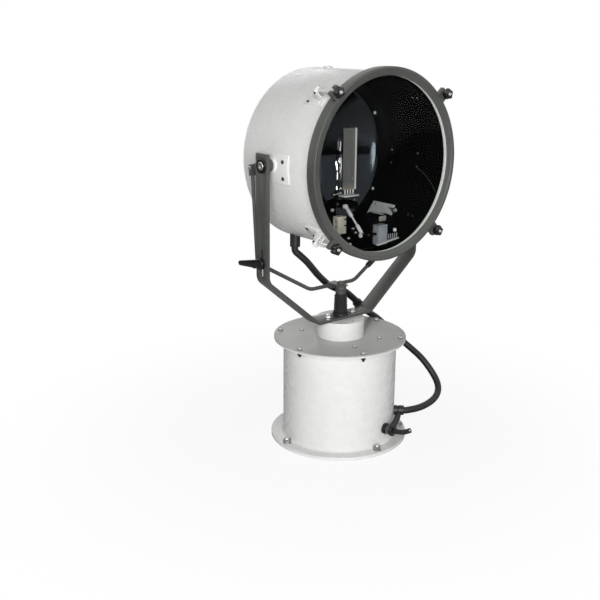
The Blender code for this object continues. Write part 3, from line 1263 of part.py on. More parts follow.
def lamp_carriage():
    """Saddle that slides on the rail, with the lamp plate, the lamp holder and a pin for the focus link."""
    bottom = RAIL_TOP + GAP
    top = bottom + CARRIAGE_THICKNESS
    length = (CARRIAGE_FRONT, CARRIAGE_BACK)
    inside = RAIL_HALF_WIDTH + GAP
    saddle = box((-inside - CHEEK_THICKNESS, inside + CHEEK_THICKNESS), length, (bottom, top))
    cheek_height = (RAIL_TOP - CHEEK_DEPTH, bottom + GAP)
    cheeks = merged([
        box((inside, inside + CHEEK_THICKNESS), length, cheek_height),
        box((-inside - CHEEK_THICKNESS, -inside), length, cheek_height)])
    holder = rod(HOLDER_RADIUS, top - GAP, HOLDER_TOP, at=(0, HOLDER_Y, 0), sides=MEDIUM)
    plate = rod(LAMP_PLATE_RADIUS, LAMP_PLATE_HEIGHT, LAMP_PLATE_HEIGHT + LAMP_PLATE_THICKNESS, sides=MEDIUM)
    eye_outer = FOCUS_LINK_X - FOCUS_LINK_HALF
    pin = rod(FOCUS_PIN_RADIUS, eye_outer - GAP, -inside - GAP, "X", (0, *FOCUS_END))
    steps = [("UNION", cheeks), ("UNION", holder), ("UNION", plate), ("UNION", pin)]
    solid("lamp_carriage", saddle, TINNED, steps, carried_by="focus_slide")


def lamp_bulb():
    bottom = HOLDER_TOP + GAP
    base_top = bottom + BULB_HEIGHT * 0.12
    profile = [(0, bottom), (BULB_BASE_RADIUS, bottom), (BULB_BASE_RADIUS, base_top)]
    for share, swell in ((0.16, 0.62), (0.30, 0.66), (0.42, 0.88), (0.50, 1.0), (0.58, 0.88), (0.70, 0.60),
                         (0.86, 0.52), (0.97, 0.36)):
        profile.append((BULB_RADIUS * swell, bottom + BULB_HEIGHT * share))
    profile.append((0, bottom + BULB_HEIGHT))
    shape = moved(turned(profile, COARSE), Matrix.Translation((0, HOLDER_Y, 0)))
    solid("lamp_bulb", shape, GLASS, carried_by="focus_slide")


def lamp_hood():
    """Folded sheet in front of the bulb that stops its direct light."""
    inner = HOOD_HALF_WIDTH - HOOD_THICKNESS
    outline = [
        (-HOOD_HALF_WIDTH, HOOD_BACK), (-HOOD_HALF_WIDTH, HOOD_FRONT), (HOOD_HALF_WIDTH, HOOD_FRONT),
        (HOOD_HALF_WIDTH, HOOD_BACK), (inner, HOOD_BACK), (inner, HOOD_FRONT + HOOD_THICKNESS),
        (-inner, HOOD_FRONT + HOOD_THICKNESS), (-inner, HOOD_BACK),
    ]
    bottom = LAMP_PLATE_HEIGHT + LAMP_PLATE_THICKNESS + GAP
    solid("lamp_hood", prism(outline, bottom, HOOD_TOP, "Z"), TINNED, carried_by="focus_slide")


def terminal_block():
    bottom = TRAY_TOP + GAP
    top = RAIL_TOP - RAIL_THICKNESS - TERMINAL_CLEARANCE
    shape = box(TERMINAL_X, TERMINAL_Y, (bottom, top))
    solid("terminal_block", shape, CERAMIC, carried_by="tilt_axis")


def focus_motor():
    bottom = TRAY_TOP + GAP
    shape = box(FOCUS_BOX_X, FOCUS_BOX_Y, (bottom, bottom + FOCUS_BOX_HEIGHT))
    bore_ends = (FOCUS_BOX_X[0] - CUT_MARGIN, FOCUS_BOX_X[0] + FOCUS_SHAFT_DEPTH + CUT_MARGIN)
    bore = rod(FOCUS_SHAFT_RADIUS + GAP, *bore_ends, "X", (0, *FOCUS_SHAFT))
    solid("focus_motor", shape, TINNED, [("DIFFERENCE", bore)], carried_by="tilt_axis")


def focus_crank():
    outer_face = FOCUS_LINK_X - FOCUS_LINK_HALF - GAP
    plate_end = outer_face - FOCUS_CRANK_THICKNESS
    arm = prism(two_circle_hull(FOCUS_SHAFT, FOCUS_EYE_RADIUS, FOCUS_PIN, FOCUS_PIN_EYE_RADIUS),
                plate_end, outer_face, "X")
    shaft_ends = (plate_end + GAP, FOCUS_BOX_X[0] + FOCUS_SHAFT_DEPTH)
    shaft = rod(FOCUS_SHAFT_RADIUS, *shaft_ends, "X", (0, *FOCUS_SHAFT))
    pin = rod(FOCUS_PIN_RADIUS, plate_end + GAP, FOCUS_LINK_X + FOCUS_LINK_HALF + GAP, "X", (0, *FOCUS_PIN))
    solid("focus_crank", arm, STEEL, [("UNION", shaft), ("UNION", pin)],
          pivot=(plate_end, *FOCUS_SHAFT), carried_by="tilt_axis")


def focus_link():
    """Rod with an eye at each end; the upper eye is a short slot along the slide."""
    low = (FOCUS_LINK_X - FOCUS_LINK_HALF, FOCUS_LINK_X + FOCUS_LINK_HALF)
    behind = (FOCUS_END[0] - FOCUS_SLOT_TRAVEL / 2, FOCUS_END[1])
    ahead = (FOCUS_END[0] + FOCUS_SLOT_TRAVEL, FOCUS_END[1])
    lower_eye = rod(FOCUS_EYE_RADIUS, *low, "X", (0, *FOCUS_PIN), MEDIUM)
    upper_eye = prism(two_circle_hull(behind, FOCUS_EYE_RADIUS, ahead, FOCUS_EYE_RADIUS), *low, "X")
    bar = swept([(FOCUS_LINK_X, *FOCUS_PIN), (FOCUS_LINK_X, *FOCUS_END)], FOCUS_LINK_HALF - GAP)
    reach = (FOCUS_LINK_X - CLEVIS_DEPTH, FOCUS_LINK_X + CLEVIS_DEPTH)
    lower_hole = rod(FOCUS_PIN_RADIUS + GAP, *reach, "X", (0, *FOCUS_PIN))
    upper_slot = prism(two_circle_hull(behind, FOCUS_SLOT_RADIUS, ahead, FOCUS_SLOT_RADIUS), *reach, "X")
    steps = [("UNION", merged([lower_eye, upper_eye])), ("DIFFERENCE", merged([lower_hole, upper_slot]))]
    solid("focus_link", bar, STAINLESS, steps, pivot=(FOCUS_LINK_X, *FOCUS_PIN), carried_by="tilt_axis")


def igniter_unit():
    """Housing with an arched top, cut back where the barrel's wall rises."""
    bottom = TRAY_TOP + GAP
    middle = (IGNITER_LEFT + IGNITER_RIGHT) / 2
    half = (IGNITER_RIGHT - IGNITER_LEFT) / 2
    rise = IGNITER_TOP - IGNITER_SHOULDER
    outline = [(IGNITER_LEFT, bottom), (IGNITER_FLOOR_RIGHT, bottom), (IGNITER_RIGHT, bottom + IGNITER_KNEE)]
    for x, y in arc((0, 0), 1, 0, 180, 8):
        outline.append((middle + half * x, bottom + IGNITER_SHOULDER + rise * y))
    solid("igniter_unit", prism(outline, *IGNITER_Y, "Y"), TINNED, carried_by="tilt_axis")


# Glands, conduit and cable

def conduit_gland():
    """Gland in the drum wall, with a socket for the conduit's end."""
    seat = DRUM_RADIUS + GAP
    end = seat + GLAND_LENGTH
    socket = CONDUIT_RADIUS + GAP
    inner_wall = DRUM_RADIUS - DRUM_WALL
    profile = [
        (0, inner_wall - GLAND_SOCKET), (NIPPLE_RADIUS, inner_wall - GLAND_SOCKET), (NIPPLE_RADIUS, seat),
        (GLAND_RADIUS, seat), (GLAND_RADIUS, end - EDGE), (GLAND_RADIUS - EDGE, end),
        (socket, end), (socket, end - GLAND_SOCKET), (0, end - GLAND_SOCKET),
    ]
    place = radial(CONDUIT_GLAND_ANGLE, CONDUIT_GLAND_HEIGHT)
    solid("conduit_gland", moved(turned(profile, MEDIUM), place), BLACK_PLASTIC)


def cable_gland():
    """Ribbed gland with a hexagon at the wall and a cap nut at its end."""
    seat = DRUM_RADIUS + GAP
    end = seat + CABLE_GLAND_LENGTH
    inner_wall = DRUM_RADIUS - DRUM_WALL
    socket = CABLE_RADIUS + GAP
    band = CABLE_GLAND_LENGTH * 0.3
    profile = [
        (0, inner_wall - GLAND_SOCKET), (NIPPLE_RADIUS, inner_wall - GLAND_SOCKET), (NIPPLE_RADIUS, seat),
        (CABLE_GLAND_RADIUS, seat), (CABLE_GLAND_RADIUS, seat + band), (CABLE_GLAND_WAIST, seat + band),
        (CABLE_GLAND_WAIST, end - band), (CABLE_GLAND_RADIUS, end - band), (CABLE_GLAND_RADIUS, end),
        (socket, end), (socket, end - CABLE_SOCKET), (0, end - CABLE_SOCKET),
    ]
    place = radial(CABLE_GLAND_ANGLE, CABLE_GLAND_HEIGHT)
    solid("cable_gland", moved(turned(profile, MEDIUM), place), BLACK_PLASTIC)


def control_cable():
    """Short cut length of cable in the lower gland, bending a little upwards."""
    start = DRUM_RADIUS + GAP + CABLE_GLAND_LENGTH - CABLE_SOCKET + GAP
    straight = CABLE_SOCKET
    rise = math.tan(math.radians(CABLE_RISE))
    points = []
    for share in (0.0, 0.5, 1.0):
        points.append(on_circle(start + straight * share, CABLE_GLAND_ANGLE, CABLE_GLAND_HEIGHT))
    for share in (0.4, 0.7, 1.0):
        reach = CABLE_LENGTH * share
        height = CABLE_GLAND_HEIGHT + rise * reach * share
        points.append(on_circle(start + straight + reach, CABLE_GLAND_ANGLE, height))
    cord("control_cable", points, CABLE_RADIUS, RUBBER, CABLE_RADIUS * 2)


def gland_lead():
    """Short lead round the drum from one gland's side to the other's."""
    nearest = LEAD_CIRCLE - LEAD_RADIUS
    start_turn = math.degrees(math.asin((GLAND_RADIUS + GAP) / nearest))
    end_turn = math.degrees(math.asin((CABLE_GLAND_RADIUS + GAP) / nearest))
    start = CONDUIT_GLAND_ANGLE - start_turn
    end = CABLE_GLAND_ANGLE + end_turn
    points = []
    steps = 6
    for step in range(steps + 1):
        share = step / steps
        height = LEAD_HIGH + (LEAD_LOW - LEAD_HIGH) * share
        points.append(on_circle(LEAD_CIRCLE, start + (end - start) * share, height))
    cord("gland_lead", points, LEAD_RADIUS, RUBBER, LEAD_RADIUS * 3)


def barrel_gland():
    """Upright gland whose top is shaped to the barrel's underside."""
    place = (BARREL_GLAND_X, BARREL_GLAND_Y, 0)
    bottom = BARREL_GLAND_BOTTOM
    body = rod(GLAND_RADIUS, bottom, BARREL_UNDERSIDE + GLAND_RADIUS, at=place, sides=MEDIUM)
    barrel_space = rod(BARREL_RADIUS + GAP, 0, BARREL_REAR, "Y", (0, 0, TILT_AXIS), FINE)
    nipple = rod(NIPPLE_RADIUS, bottom + GLAND_SOCKET + CUT_MARGIN, BARREL_UNDERSIDE + GLAND_RADIUS, at=place)
    socket = rod(CONDUIT_RADIUS + GAP, bottom - CUT_MARGIN, bottom + GLAND_SOCKET, at=place, sides=MEDIUM)
    steps = [("DIFFERENCE", barrel_space), ("UNION", nipple), ("DIFFERENCE", socket)]
    solid("barrel_gland", body, BLACK_PLASTIC, steps, carried_by="tilt_axis")


def clip_frame():
    """Frame on the sloping strap's outer face, with X down the strap, Y along Y and Z outwards."""
    along = Vector((-math.cos(STRAP_SLOPE), 0, -math.sin(STRAP_SLOPE)))
    outward = Vector((math.sin(STRAP_SLOPE), 0, -math.cos(STRAP_SLOPE)))
    side = Vector((0, 1, 0))
    height = YOKE_BOTTOM + (CLIP_X - YOKE_BASE_HALF) * math.tan(STRAP_SLOPE)
    matrix = Matrix((along, side, outward)).transposed().to_4x4()
    return Matrix.Translation((CLIP_X, 0, height)) @ matrix


def conduit_clip():
    """Clip screwed under the strap, with a ring that holds the conduit behind it."""
    frame = clip_frame()
    hole = CONDUIT_RADIUS + GAP
    outer = hole + CLIP_RING
    ring_profile = [(hole, GAP), (outer, GAP), (outer, CLIP_RING_LENGTH), (hole, CLIP_RING_LENGTH)]
    ring = moved(turned(ring_profile, MEDIUM), Matrix.Translation((0, CLIP_Y, 0)))
    tab = box((-CLIP_HALF_WIDTH, CLIP_HALF_WIDTH), (CLIP_TAB_FRONT, CLIP_Y - hole - CLIP_RING / 2),
              (GAP * 2, GAP * 2 + CLIP_PLATE))
    solid("conduit_clip", moved(ring, frame), BLACK_PLASTIC, [("UNION", moved(tab, frame))],
          carried_by="pan_axis")


def conduits():
    """Conduit from the barrel to the clip on the yoke, and from the clip to the pedestal."""
    frame = clip_frame()
    upper_end = frame @ Vector((0, CLIP_Y, CLIP_SPLIT))
    upper_in = frame @ Vector((0, CLIP_Y, CLIP_SPLIT - CONDUIT_RADIUS))
    lower_start = frame @ Vector((0, CLIP_Y, CLIP_SPLIT + GAP))
    lower_out = frame @ Vector((0, CLIP_Y, CLIP_SPLIT + CONDUIT_RADIUS))
    top = BARREL_GLAND_BOTTOM + GLAND_SOCKET - GAP
    gland_end = Vector((BARREL_GLAND_X, BARREL_GLAND_Y, BARREL_GLAND_BOTTOM))
    upper = [
        (BARREL_GLAND_X, BARREL_GLAND_Y, top), (BARREL_GLAND_X, BARREL_GLAND_Y, top - 2 * GLAND_SOCKET),
        *[gland_end + Vector(offset) for offset in GLAND_ROUTE], *UPPER_ROUTE, upper_in, upper_end,
    ]
    cord("conduit_upper", upper, CONDUIT_RADIUS, RUBBER, CONDUIT_STEP, "tilt_axis")
    gland_face = DRUM_RADIUS + GAP + GLAND_LENGTH
    approach = [
        on_circle(gland_face + reach, CONDUIT_GLAND_ANGLE + angle, CONDUIT_GLAND_HEIGHT + rise)
        for reach, rise, angle in zip(APPROACH_REACH, APPROACH_RISE, APPROACH_ANGLES)]
    lower = [
        lower_start, lower_out, *LOWER_ROUTE, *approach,
        on_circle(gland_face + GLAND_SOCKET / 2, CONDUIT_GLAND_ANGLE, CONDUIT_GLAND_HEIGHT),
        on_circle(gland_face - GLAND_SOCKET + GAP, CONDUIT_GLAND_ANGLE, CONDUIT_GLAND_HEIGHT),
    ]
    cord("conduit_lower", lower, CONDUIT_RADIUS, RUBBER, CONDUIT_STEP)


def build():
    clear_scene()
    carrier("pan_axis", (0, 0, DECK))
    carrier("tilt_slide", (0, 0, ROD_HEAD_TOP), "pan_axis")
    carrier("tilt_axis", (0, 0, TILT_AXIS), "pan_axis")
    carrier("focus_slide", (0, 0, RAIL_TOP), "tilt_axis")
    for make in (
            pedestal_drum, top_plate, deck_bolts, bearing_housing, pan_gear, pan_motor, pan_pinion,
            turntable_drum, tilt_actuator, guide_bush, yoke, yoke_bolts, trunnion_bushes, push_rod, bellows,
            tilt_bow, bow_bolt, clamp_lever, cranks, link_rods, barrel, rear_cover, bezel, front_glass,
            glass_gasket, trunnions, clamps, reflector, lamp_chassis, lamp_carriage, lamp_bulb, lamp_hood,
            terminal_block, focus_motor, focus_crank, focus_link, igniter_unit, conduit_gland, cable_gland,
            control_cable, gland_lead, barrel_gland, conduit_clip, conduits):
        make()


build()
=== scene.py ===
import math

import bmesh
import bpy
from mathutils import Matrix, Vector


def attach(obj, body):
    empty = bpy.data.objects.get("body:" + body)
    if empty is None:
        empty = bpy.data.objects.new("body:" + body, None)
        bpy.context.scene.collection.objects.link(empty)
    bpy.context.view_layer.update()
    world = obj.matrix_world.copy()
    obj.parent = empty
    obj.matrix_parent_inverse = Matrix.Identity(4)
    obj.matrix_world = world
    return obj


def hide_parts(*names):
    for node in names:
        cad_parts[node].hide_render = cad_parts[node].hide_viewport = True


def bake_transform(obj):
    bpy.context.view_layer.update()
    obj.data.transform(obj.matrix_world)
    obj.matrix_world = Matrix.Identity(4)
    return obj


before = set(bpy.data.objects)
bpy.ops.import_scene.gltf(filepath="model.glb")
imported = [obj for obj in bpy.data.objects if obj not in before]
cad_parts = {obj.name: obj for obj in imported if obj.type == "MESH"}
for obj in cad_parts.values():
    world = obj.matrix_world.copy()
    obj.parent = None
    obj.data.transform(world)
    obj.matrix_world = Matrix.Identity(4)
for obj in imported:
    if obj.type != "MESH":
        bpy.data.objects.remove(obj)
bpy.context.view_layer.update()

# Everything is in metres, +Z up, and the beam leaves towards -Y.

# Facets of round pieces
FEW = 16
SOME = 32
MANY = 64
MOST = 192

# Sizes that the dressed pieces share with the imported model
GAP = 0.0003
BASE_RADIUS = 0.17
BASE_THICKNESS = 0.008
DRUM_RADIUS = 0.1398
DRUM_WALL = 0.003
DRUM_TOP = 0.256
RIM_RADIUS = 0.1632
RIM_BORE = 0.125
PLATE_LOW = 0.2563
DECK = 0.2593
INNER_SCREW_CIRCLE = 0.1
INNER_SCREW_ANGLES = (249, 303, 69, 123)
PLATE_BORE = 0.034
RIM_BOLT_CIRCLE = 0.151
RIM_BOLT_ANGLES = (10, 70, 130, 190, 250, 310)
DECK_BOLT_CIRCLE = 0.155
DECK_BOLT_ANGLES = (175, 266, 326, 86)
TURNTABLE_RADIUS = 0.0592
TURNTABLE_LOW = 0.2597
TURNTABLE_TOP = 0.304
SPINDLE_RADIUS = 0.03
SPINDLE_BOTTOM = 0.1497
HOSE_GLAND_ANGLE = -42.8
HOSE_GLAND_HEIGHT = 0.06
CABLE_GLAND_ANGLE = -78
CABLE_GLAND_HEIGHT = 0.047
CABLE_GLAND_LENGTH = 0.028
CABLE_GLAND_SOCKET = 0.008
ROD_BORE = 0.0148
YOKE_HALF_SPAN = 0.2377
YOKE_BASE_HALF = 0.0848
YOKE_BEND_HEIGHT = 0.4326
YOKE_BOTTOM = 0.3043
YOKE_TOP = 0.7222
STRAP_WIDTH = 0.0429
STRAP_THICKNESS = 0.0062
STRAP_TOP = YOKE_BOTTOM + STRAP_THICKNESS
ARM_INNER = YOKE_HALF_SPAN - STRAP_THICKNESS
YOKE_BOLT_X = 0.0385
SLOT_Y = 0.0017
SLOT_Z = 0.475
SLOT_HALF_LENGTH = 0.034
SLOT_HALF_WIDTH = 0.005
TILT_AXIS = 0.6955
SHAFT_RADIUS = 0.0095
SHAFT_END = 0.242
BUSH_RADIUS = 0.0135
BUSH_FLANGE_RADIUS = 0.0165
CRANK_PIN = (0.06135, 0.68357)
LINK_X = 0.2188
CRANK_THICKNESS = 0.005
CLEVIS_TINE = 0.003
CLEVIS_DEPTH = 0.012
BOW_PIN = (0.044, 0.4615)
BOW_BACK = 0.031
BOW_LOW = 0.379
BOW_RADIUS = 0.0047
BOW_END = 0.2125
ROD_RADIUS = 0.011
ROD_BOTTOM = 0.105
ROD_HEAD_RADIUS = 0.0132
ROD_HEAD_BOTTOM = 0.364
ROD_HEAD_TOP = 0.383
SADDLE_TOP = 0.387
GUIDE_TOP = 0.3143
BARREL_RADIUS = 0.2056
BARREL_WALL = 0.002
BARREL_INNER = BARREL_RADIUS - BARREL_WALL
BARREL_FRONT = -0.1368
BARREL_REAR = 0.112
LIP_BORE = 0.1975
REAR_BORE = 0.196
SEAT_BORE = 0.1765
SEAT_FRONT = 0.06
SEAT_BACK = 0.0644
COVER_DEPTH = 0.0317
BEZEL_RADIUS = 0.2166
BEZEL_FRONT = -0.1552
BEZEL_BORE = 0.197
GLASS_FRONT = -0.1444
GLASS_THICKNESS = 0.005
GLASS_RADIUS = 0.2005
CLAMP_ANGLES = (134, 41.6, -46, -133.6)
CLAMP_RADIUS = 0.231
CLAMP_PIVOT_Y = -0.093
CLAMP_PIVOT = (0, CLAMP_PIVOT_Y, CLAMP_RADIUS)
FOCAL_LENGTH = 0.12
REFLECTOR_VERTEX = 0.13
REFLECTOR_RADIUS = 0.177
TRAY_TOP = 0.508
RAIL_TOP = 0.59
LAMP_PLATE_TOP = 0.6125
HOOD_LOW = 0.6238
HOOD_TOP = 0.768
FOCUS_SHAFT = (-0.1175, 0.5338)
FOCUS_PIN = (-0.092, 0.5283)
FOCUS_END = (-0.03, 0.5863)
ARM_FACE = -0.0183
VENT_Y = 0.06
SHARP = 38
HOSE_RADIUS = 0.0085

ALONG_X = Matrix.Rotation(math.pi / 2, 4, "Y")
ALONG_Y = Matrix.Rotation(-math.pi / 2, 4, "X")
TO_FRONT = Matrix.Rotation(math.pi / 2, 4, "X")
UPSIDE_DOWN = Matrix.Rotation(math.pi, 4, "X")
SIDES = (("left", -1), ("right", 1))


# Camera, floor and light

PICTURE_SIZE = 600
FOCAL_PIXELS = 880.91
CENTRE_PIXEL = (342.414, 268.028)


def look_through_camera():
    """Camera of the photograph: a place, three axes, a focal length and the frame's offset."""
    right = Vector((0.75102, -0.66003, 0.01809))
    up = Vector((0.15327, 0.20091, 0.96754))
    back = Vector((-0.64224, -0.72388, 0.25205))
    data = bpy.data.cameras.new("camera")
    data.sensor_width = 36.0
    data.lens = FOCAL_PIXELS / PICTURE_SIZE * data.sensor_width
    data.shift_x = (PICTURE_SIZE / 2 - CENTRE_PIXEL[0]) / PICTURE_SIZE
    data.shift_y = (CENTRE_PIXEL[1] - PICTURE_SIZE / 2) / PICTURE_SIZE
    data.clip_start = 0.05
    data.clip_end = 60
    camera = bpy.data.objects.new("camera", data)
    bpy.context.scene.collection.objects.link(camera)
    turn = Matrix((right, up, back)).transposed().to_4x4()
    camera.matrix_world = Matrix.Translation((-1.3734, -1.5522, 0.9679)) @ turn
    bpy.context.scene.camera = camera


def area_light(name, place, target, size, power):
    """Soft lamp; size is a disc's diameter, or the width and height of an upright strip."""
    data = bpy.data.lights.new(name, "AREA")
    if isinstance(size, tuple):
        data.shape = "RECTANGLE"
        data.size, data.size_y = size
    else:
        data.shape = "DISK"
        data.size = size
    data.energy = power
    light = bpy.data.objects.new(name, data)
    bpy.context.scene.collection.objects.link(light)
    heading = Vector(target) - Vector(place)
    light.rotation_euler = heading.to_track_quat("-Z", "Y").to_euler()
    light.location = place


def computed(nodes, links, operation, first, second):
    node = nodes.new("ShaderNodeMath")
    node.operation = operation
    links.new(first, node.inputs[0])
    links.new(second, node.inputs[1])
    return node.outputs[0]


def seen_directly(nodes, links):
    """Light path node, and a socket that is 1 for rays from the camera, also through glass."""
    path = nodes.new("ShaderNodeLightPath")
    return path, computed(nodes, links, "MAXIMUM", path.outputs["Is Camera Ray"],
                          path.outputs["Is Transmission Ray"])


def blended(nodes, links, share, first, second, out):
    mix = nodes.new("ShaderNodeMixShader")
    links.new(share, mix.inputs[0])
    links.new(first.outputs[0], mix.inputs[1])
    links.new(second.outputs[0], mix.inputs[2])
    links.new(mix.outputs[0], out.inputs["Surface"])


def studio():
    """Soft key light with two strips for the streaks, weaker lights around, and a white background."""
    area_light("key", (-2.1, -2.3, 1.45), (0, 0, 0.45), 1.5, 68)
    area_light("strip", (-2.05, -1.83, 1.0), (0, 0, 0.4), (0.1, 1.6), 7)
    area_light("low", (-1.03, -2.32, 0.75), (0.1, 0, 0.68), (0.16, 1.4), 11)
    area_light("fill", (1.9, -2.4, 1.1), (0, 0, 0.45), 1.6, 5)
    area_light("top", (-0.2, 0.3, 2.9), (0, 0, 0.5), 1.5, 7)
    area_light("rear", (0.9, 2.4, 1.5), (0, 0, 0.5), 1.6, 6)
    world = bpy.data.worlds.new("studio")
    bpy.context.scene.world = world
    world.use_nodes = True
    nodes, links = world.node_tree.nodes, world.node_tree.links
    nodes.clear()
    out = nodes.new("ShaderNodeOutputWorld")
    path, seen = seen_directly(nodes, links)
    shiny = computed(nodes, links, "MAXIMUM", seen, path.outputs["Is Glossy Ray"])
    shades = []
    for strength in (0.05, 1.0):
        shade = nodes.new("ShaderNodeBackground")
        shade.inputs["Color"].default_value = (1, 1, 1, 1)
        shade.inputs["Strength"].default_value = strength
        shades.append(shade)
    blended(nodes, links, shiny, *shades, out)


def pale_floor():
    """Floor that is white to the eye far out and keeps a soft shadow near the base."""
    shape = bmesh.new()
    bmesh.ops.create_circle(shape, cap_ends=True, segments=96, radius=14)
    mesh = bpy.data.meshes.new("floor")
    shape.to_mesh(mesh)
    shape.free()
    floor = bpy.data.objects.new("floor", mesh)
    bpy.context.scene.collection.objects.link(floor)
    material = bpy.data.materials.new("floor")
    material.use_nodes = True
    nodes, links = material.node_tree.nodes, material.node_tree.links
    nodes.clear()
    out = nodes.new("ShaderNodeOutputMaterial")
    diffuse = nodes.new("ShaderNodeBsdfDiffuse")
    diffuse.inputs["Color"].default_value = (0.86, 0.86, 0.86, 1)
    glow = nodes.new("ShaderNodeEmission")
    glow.inputs["Color"].default_value = (1, 1, 1, 1)
    place = nodes.new("ShaderNodeTexCoord")
    length = nodes.new("ShaderNodeVectorMath")
    length.operation = "LENGTH"
    links.new(place.outputs["Object"], length.inputs[0])
    reach = ranged(nodes, links, length.outputs["Value"], 0.2, 0.95, 0.9, 1.0)
    reach.node.interpolation_type = "SMOOTHSTEP"
    seen = seen_directly(nodes, links)[1]
    blended(nodes, links, computed(nodes, links, "MULTIPLY", seen, reach), diffuse, glow, out)
    mesh.materials.append(material)


# Materials, all from nodes in the object's own metres

def blank_material(name):
    material = bpy.data.materials.new(name)
    material.use_nodes = True
    tree = material.node_tree
    return material, tree.nodes, tree.links, tree.nodes["Principled BSDF"]


def noise(nodes, links, scale, detail=3.0, stretch=(1, 1, 1), rough=0.55):
    """Noise output at so many features a metre, drawn out along an axis where stretch is small."""
    place = nodes.new("ShaderNodeTexCoord")
    source = place.outputs["Object"]
    if stretch != (1, 1, 1):
        mapping = nodes.new("ShaderNodeMapping")
        mapping.inputs["Scale"].default_value = stretch
        links.new(source, mapping.inputs["Vector"])
        source = mapping.outputs["Vector"]
    texture = nodes.new("ShaderNodeTexNoise")
    texture.inputs["Scale"].default_value = scale
    texture.inputs["Detail"].default_value = detail
    texture.inputs["Roughness"].default_value = rough
    links.new(source, texture.inputs["Vector"])
    return texture.outputs["Fac"]


def ranged(nodes, links, value, low, high, out_low, out_high):
    node = nodes.new("ShaderNodeMapRange")
    node.inputs["From Min"].default_value = low
    node.inputs["From Max"].default_value = high
    node.inputs["To Min"].default_value = out_low
    node.inputs["To Max"].default_value = out_high
    links.new(value, node.inputs["Value"])
    return node.outputs["Result"]


def mixed(nodes, links, factor, first, second):
    """Colour between two, each a tuple or a socket."""
    node = nodes.new("ShaderNodeMix")
    node.data_type = "RGBA"
    links.new(factor, node.inputs["Factor"])
    for socket, value in ((node.inputs["A"], first), (node.inputs["B"], second)):
        if isinstance(value, tuple):
            socket.default_value = (*value, 1.0)
        else:
            links.new(value, socket)
    return node.outputs["Result"]


def bumped(nodes, links, shader, height, strength, distance):
    node = nodes.new("ShaderNodeBump")
    node.inputs["Strength"].default_value = strength
    node.inputs["Distance"].default_value = distance
    links.new(height, node.inputs["Height"])
    links.new(node.outputs["Normal"], shader.inputs["Normal"])


def tinted(colour, factor):
    return tuple(min(1.0, part * factor) for part in colour)


def coated(name, colour, roughness, grain=500, strength=0.1, distance=0.0003, mottle=0.05, dust=None,
           specular=0.5):
    """Paint, plastic or rubber: mottled colour, settled dust, uneven gloss and a fine skin."""
    material, nodes, links, shader = blank_material(name)
    broad = noise(nodes, links, 11, 4)
    share = ranged(nodes, links, broad, 0.35, 0.65, 0, 1)
    base = mixed(nodes, links, share, tinted(colour, 1 - mottle), tinted(colour, 1 + mottle / 3))
    if dust:
        specks = noise(nodes, links, 140, 6, rough=0.7)
        settled = ranged(nodes, links, specks, 0.6, 0.8, 0, 0.55)
        base = mixed(nodes, links, settled, base, dust)
    links.new(base, shader.inputs["Base Color"])
    worn = noise(nodes, links, 45, 5)
    spread = ranged(nodes, links, worn, 0.3, 0.7, max(0.02, roughness - 0.07), min(1, roughness + 0.08))
    links.new(spread, shader.inputs["Roughness"])
    shader.inputs["Specular IOR Level"].default_value = specular
    bumped(nodes, links, shader, noise(nodes, links, grain, 2), strength, distance)
    return material


def metal(name, colour, roughness, stretch=(1, 1, 1), scale=300, strength=0.08, mottle=0.08):
    """Bare metal with the marks of its finish, drawn out along one axis where it is brushed or turned."""
    material, nodes, links, shader = blank_material(name)
    broad = ranged(nodes, links, noise(nodes, links, 25, 4), 0.3, 0.7, 0, 1)
    links.new(mixed(nodes, links, broad, tinted(colour, 1 - mottle), tinted(colour, 1 + mottle / 2)),
              shader.inputs["Base Color"])
    shader.inputs["Metallic"].default_value = 1.0
    marks = noise(nodes, links, scale, 4, stretch)
    links.new(ranged(nodes, links, marks, 0.3, 0.7, max(0.02, roughness - 0.08), roughness + 0.1),
              shader.inputs["Roughness"])
    bumped(nodes, links, shader, marks, strength, 0.0002)
    return material


def darkened_mirror(name):
    """Polished dish painted far darker than a real reflector, as painted shade for the dark room it
    reflects, with faint haze and the fine rings of its spinning.
    """
    material, nodes, links, shader = blank_material(name)
    haze = noise(nodes, links, 14, 5)
    # Both tones are painted shade, far darker than the bright metal of a reflector.
    tones = mixed(nodes, links, haze, (0.02, 0.024, 0.027), (0.034, 0.038, 0.042))
    links.new(tones, shader.inputs["Base Color"])
    shader.inputs["Metallic"].default_value = 1.0
    links.new(ranged(nodes, links, haze, 0.3, 0.7, 0.05, 0.12), shader.inputs["Roughness"])
    rings = noise(nodes, links, 60, 3, (1, 0.02, 1))
    bumped(nodes, links, shader, rings, 0.03, 0.0002)
    return material


def heat_marked(name, cold, warm, low, high):
    """Brushed sheet whose lower end has taken a warm tint from the lamp."""
    material, nodes, links, shader = blank_material(name)
    place = nodes.new("ShaderNodeTexCoord")
    split = nodes.new("ShaderNodeSeparateXYZ")
    links.new(place.outputs["Object"], split.inputs[0])
    tint = ranged(nodes, links, split.outputs["Z"], low, high, 1, 0)
    streaks = ranged(nodes, links, noise(nodes, links, 160, 4, (1, 1, 0.08)), 0.3, 0.7, 0, 1)
    plain = mixed(nodes, links, streaks, tinted(cold, 0.82), tinted(cold, 1.15))
    links.new(mixed(nodes, links, tint, plain, warm), shader.inputs["Base Color"])
    shader.inputs["Metallic"].default_value = 0.35
    links.new(ranged(nodes, links, streaks, 0, 1, 0.34, 0.5), shader.inputs["Roughness"])
    bumped(nodes, links, shader, streaks, 0.05, 0.0002)
    return material


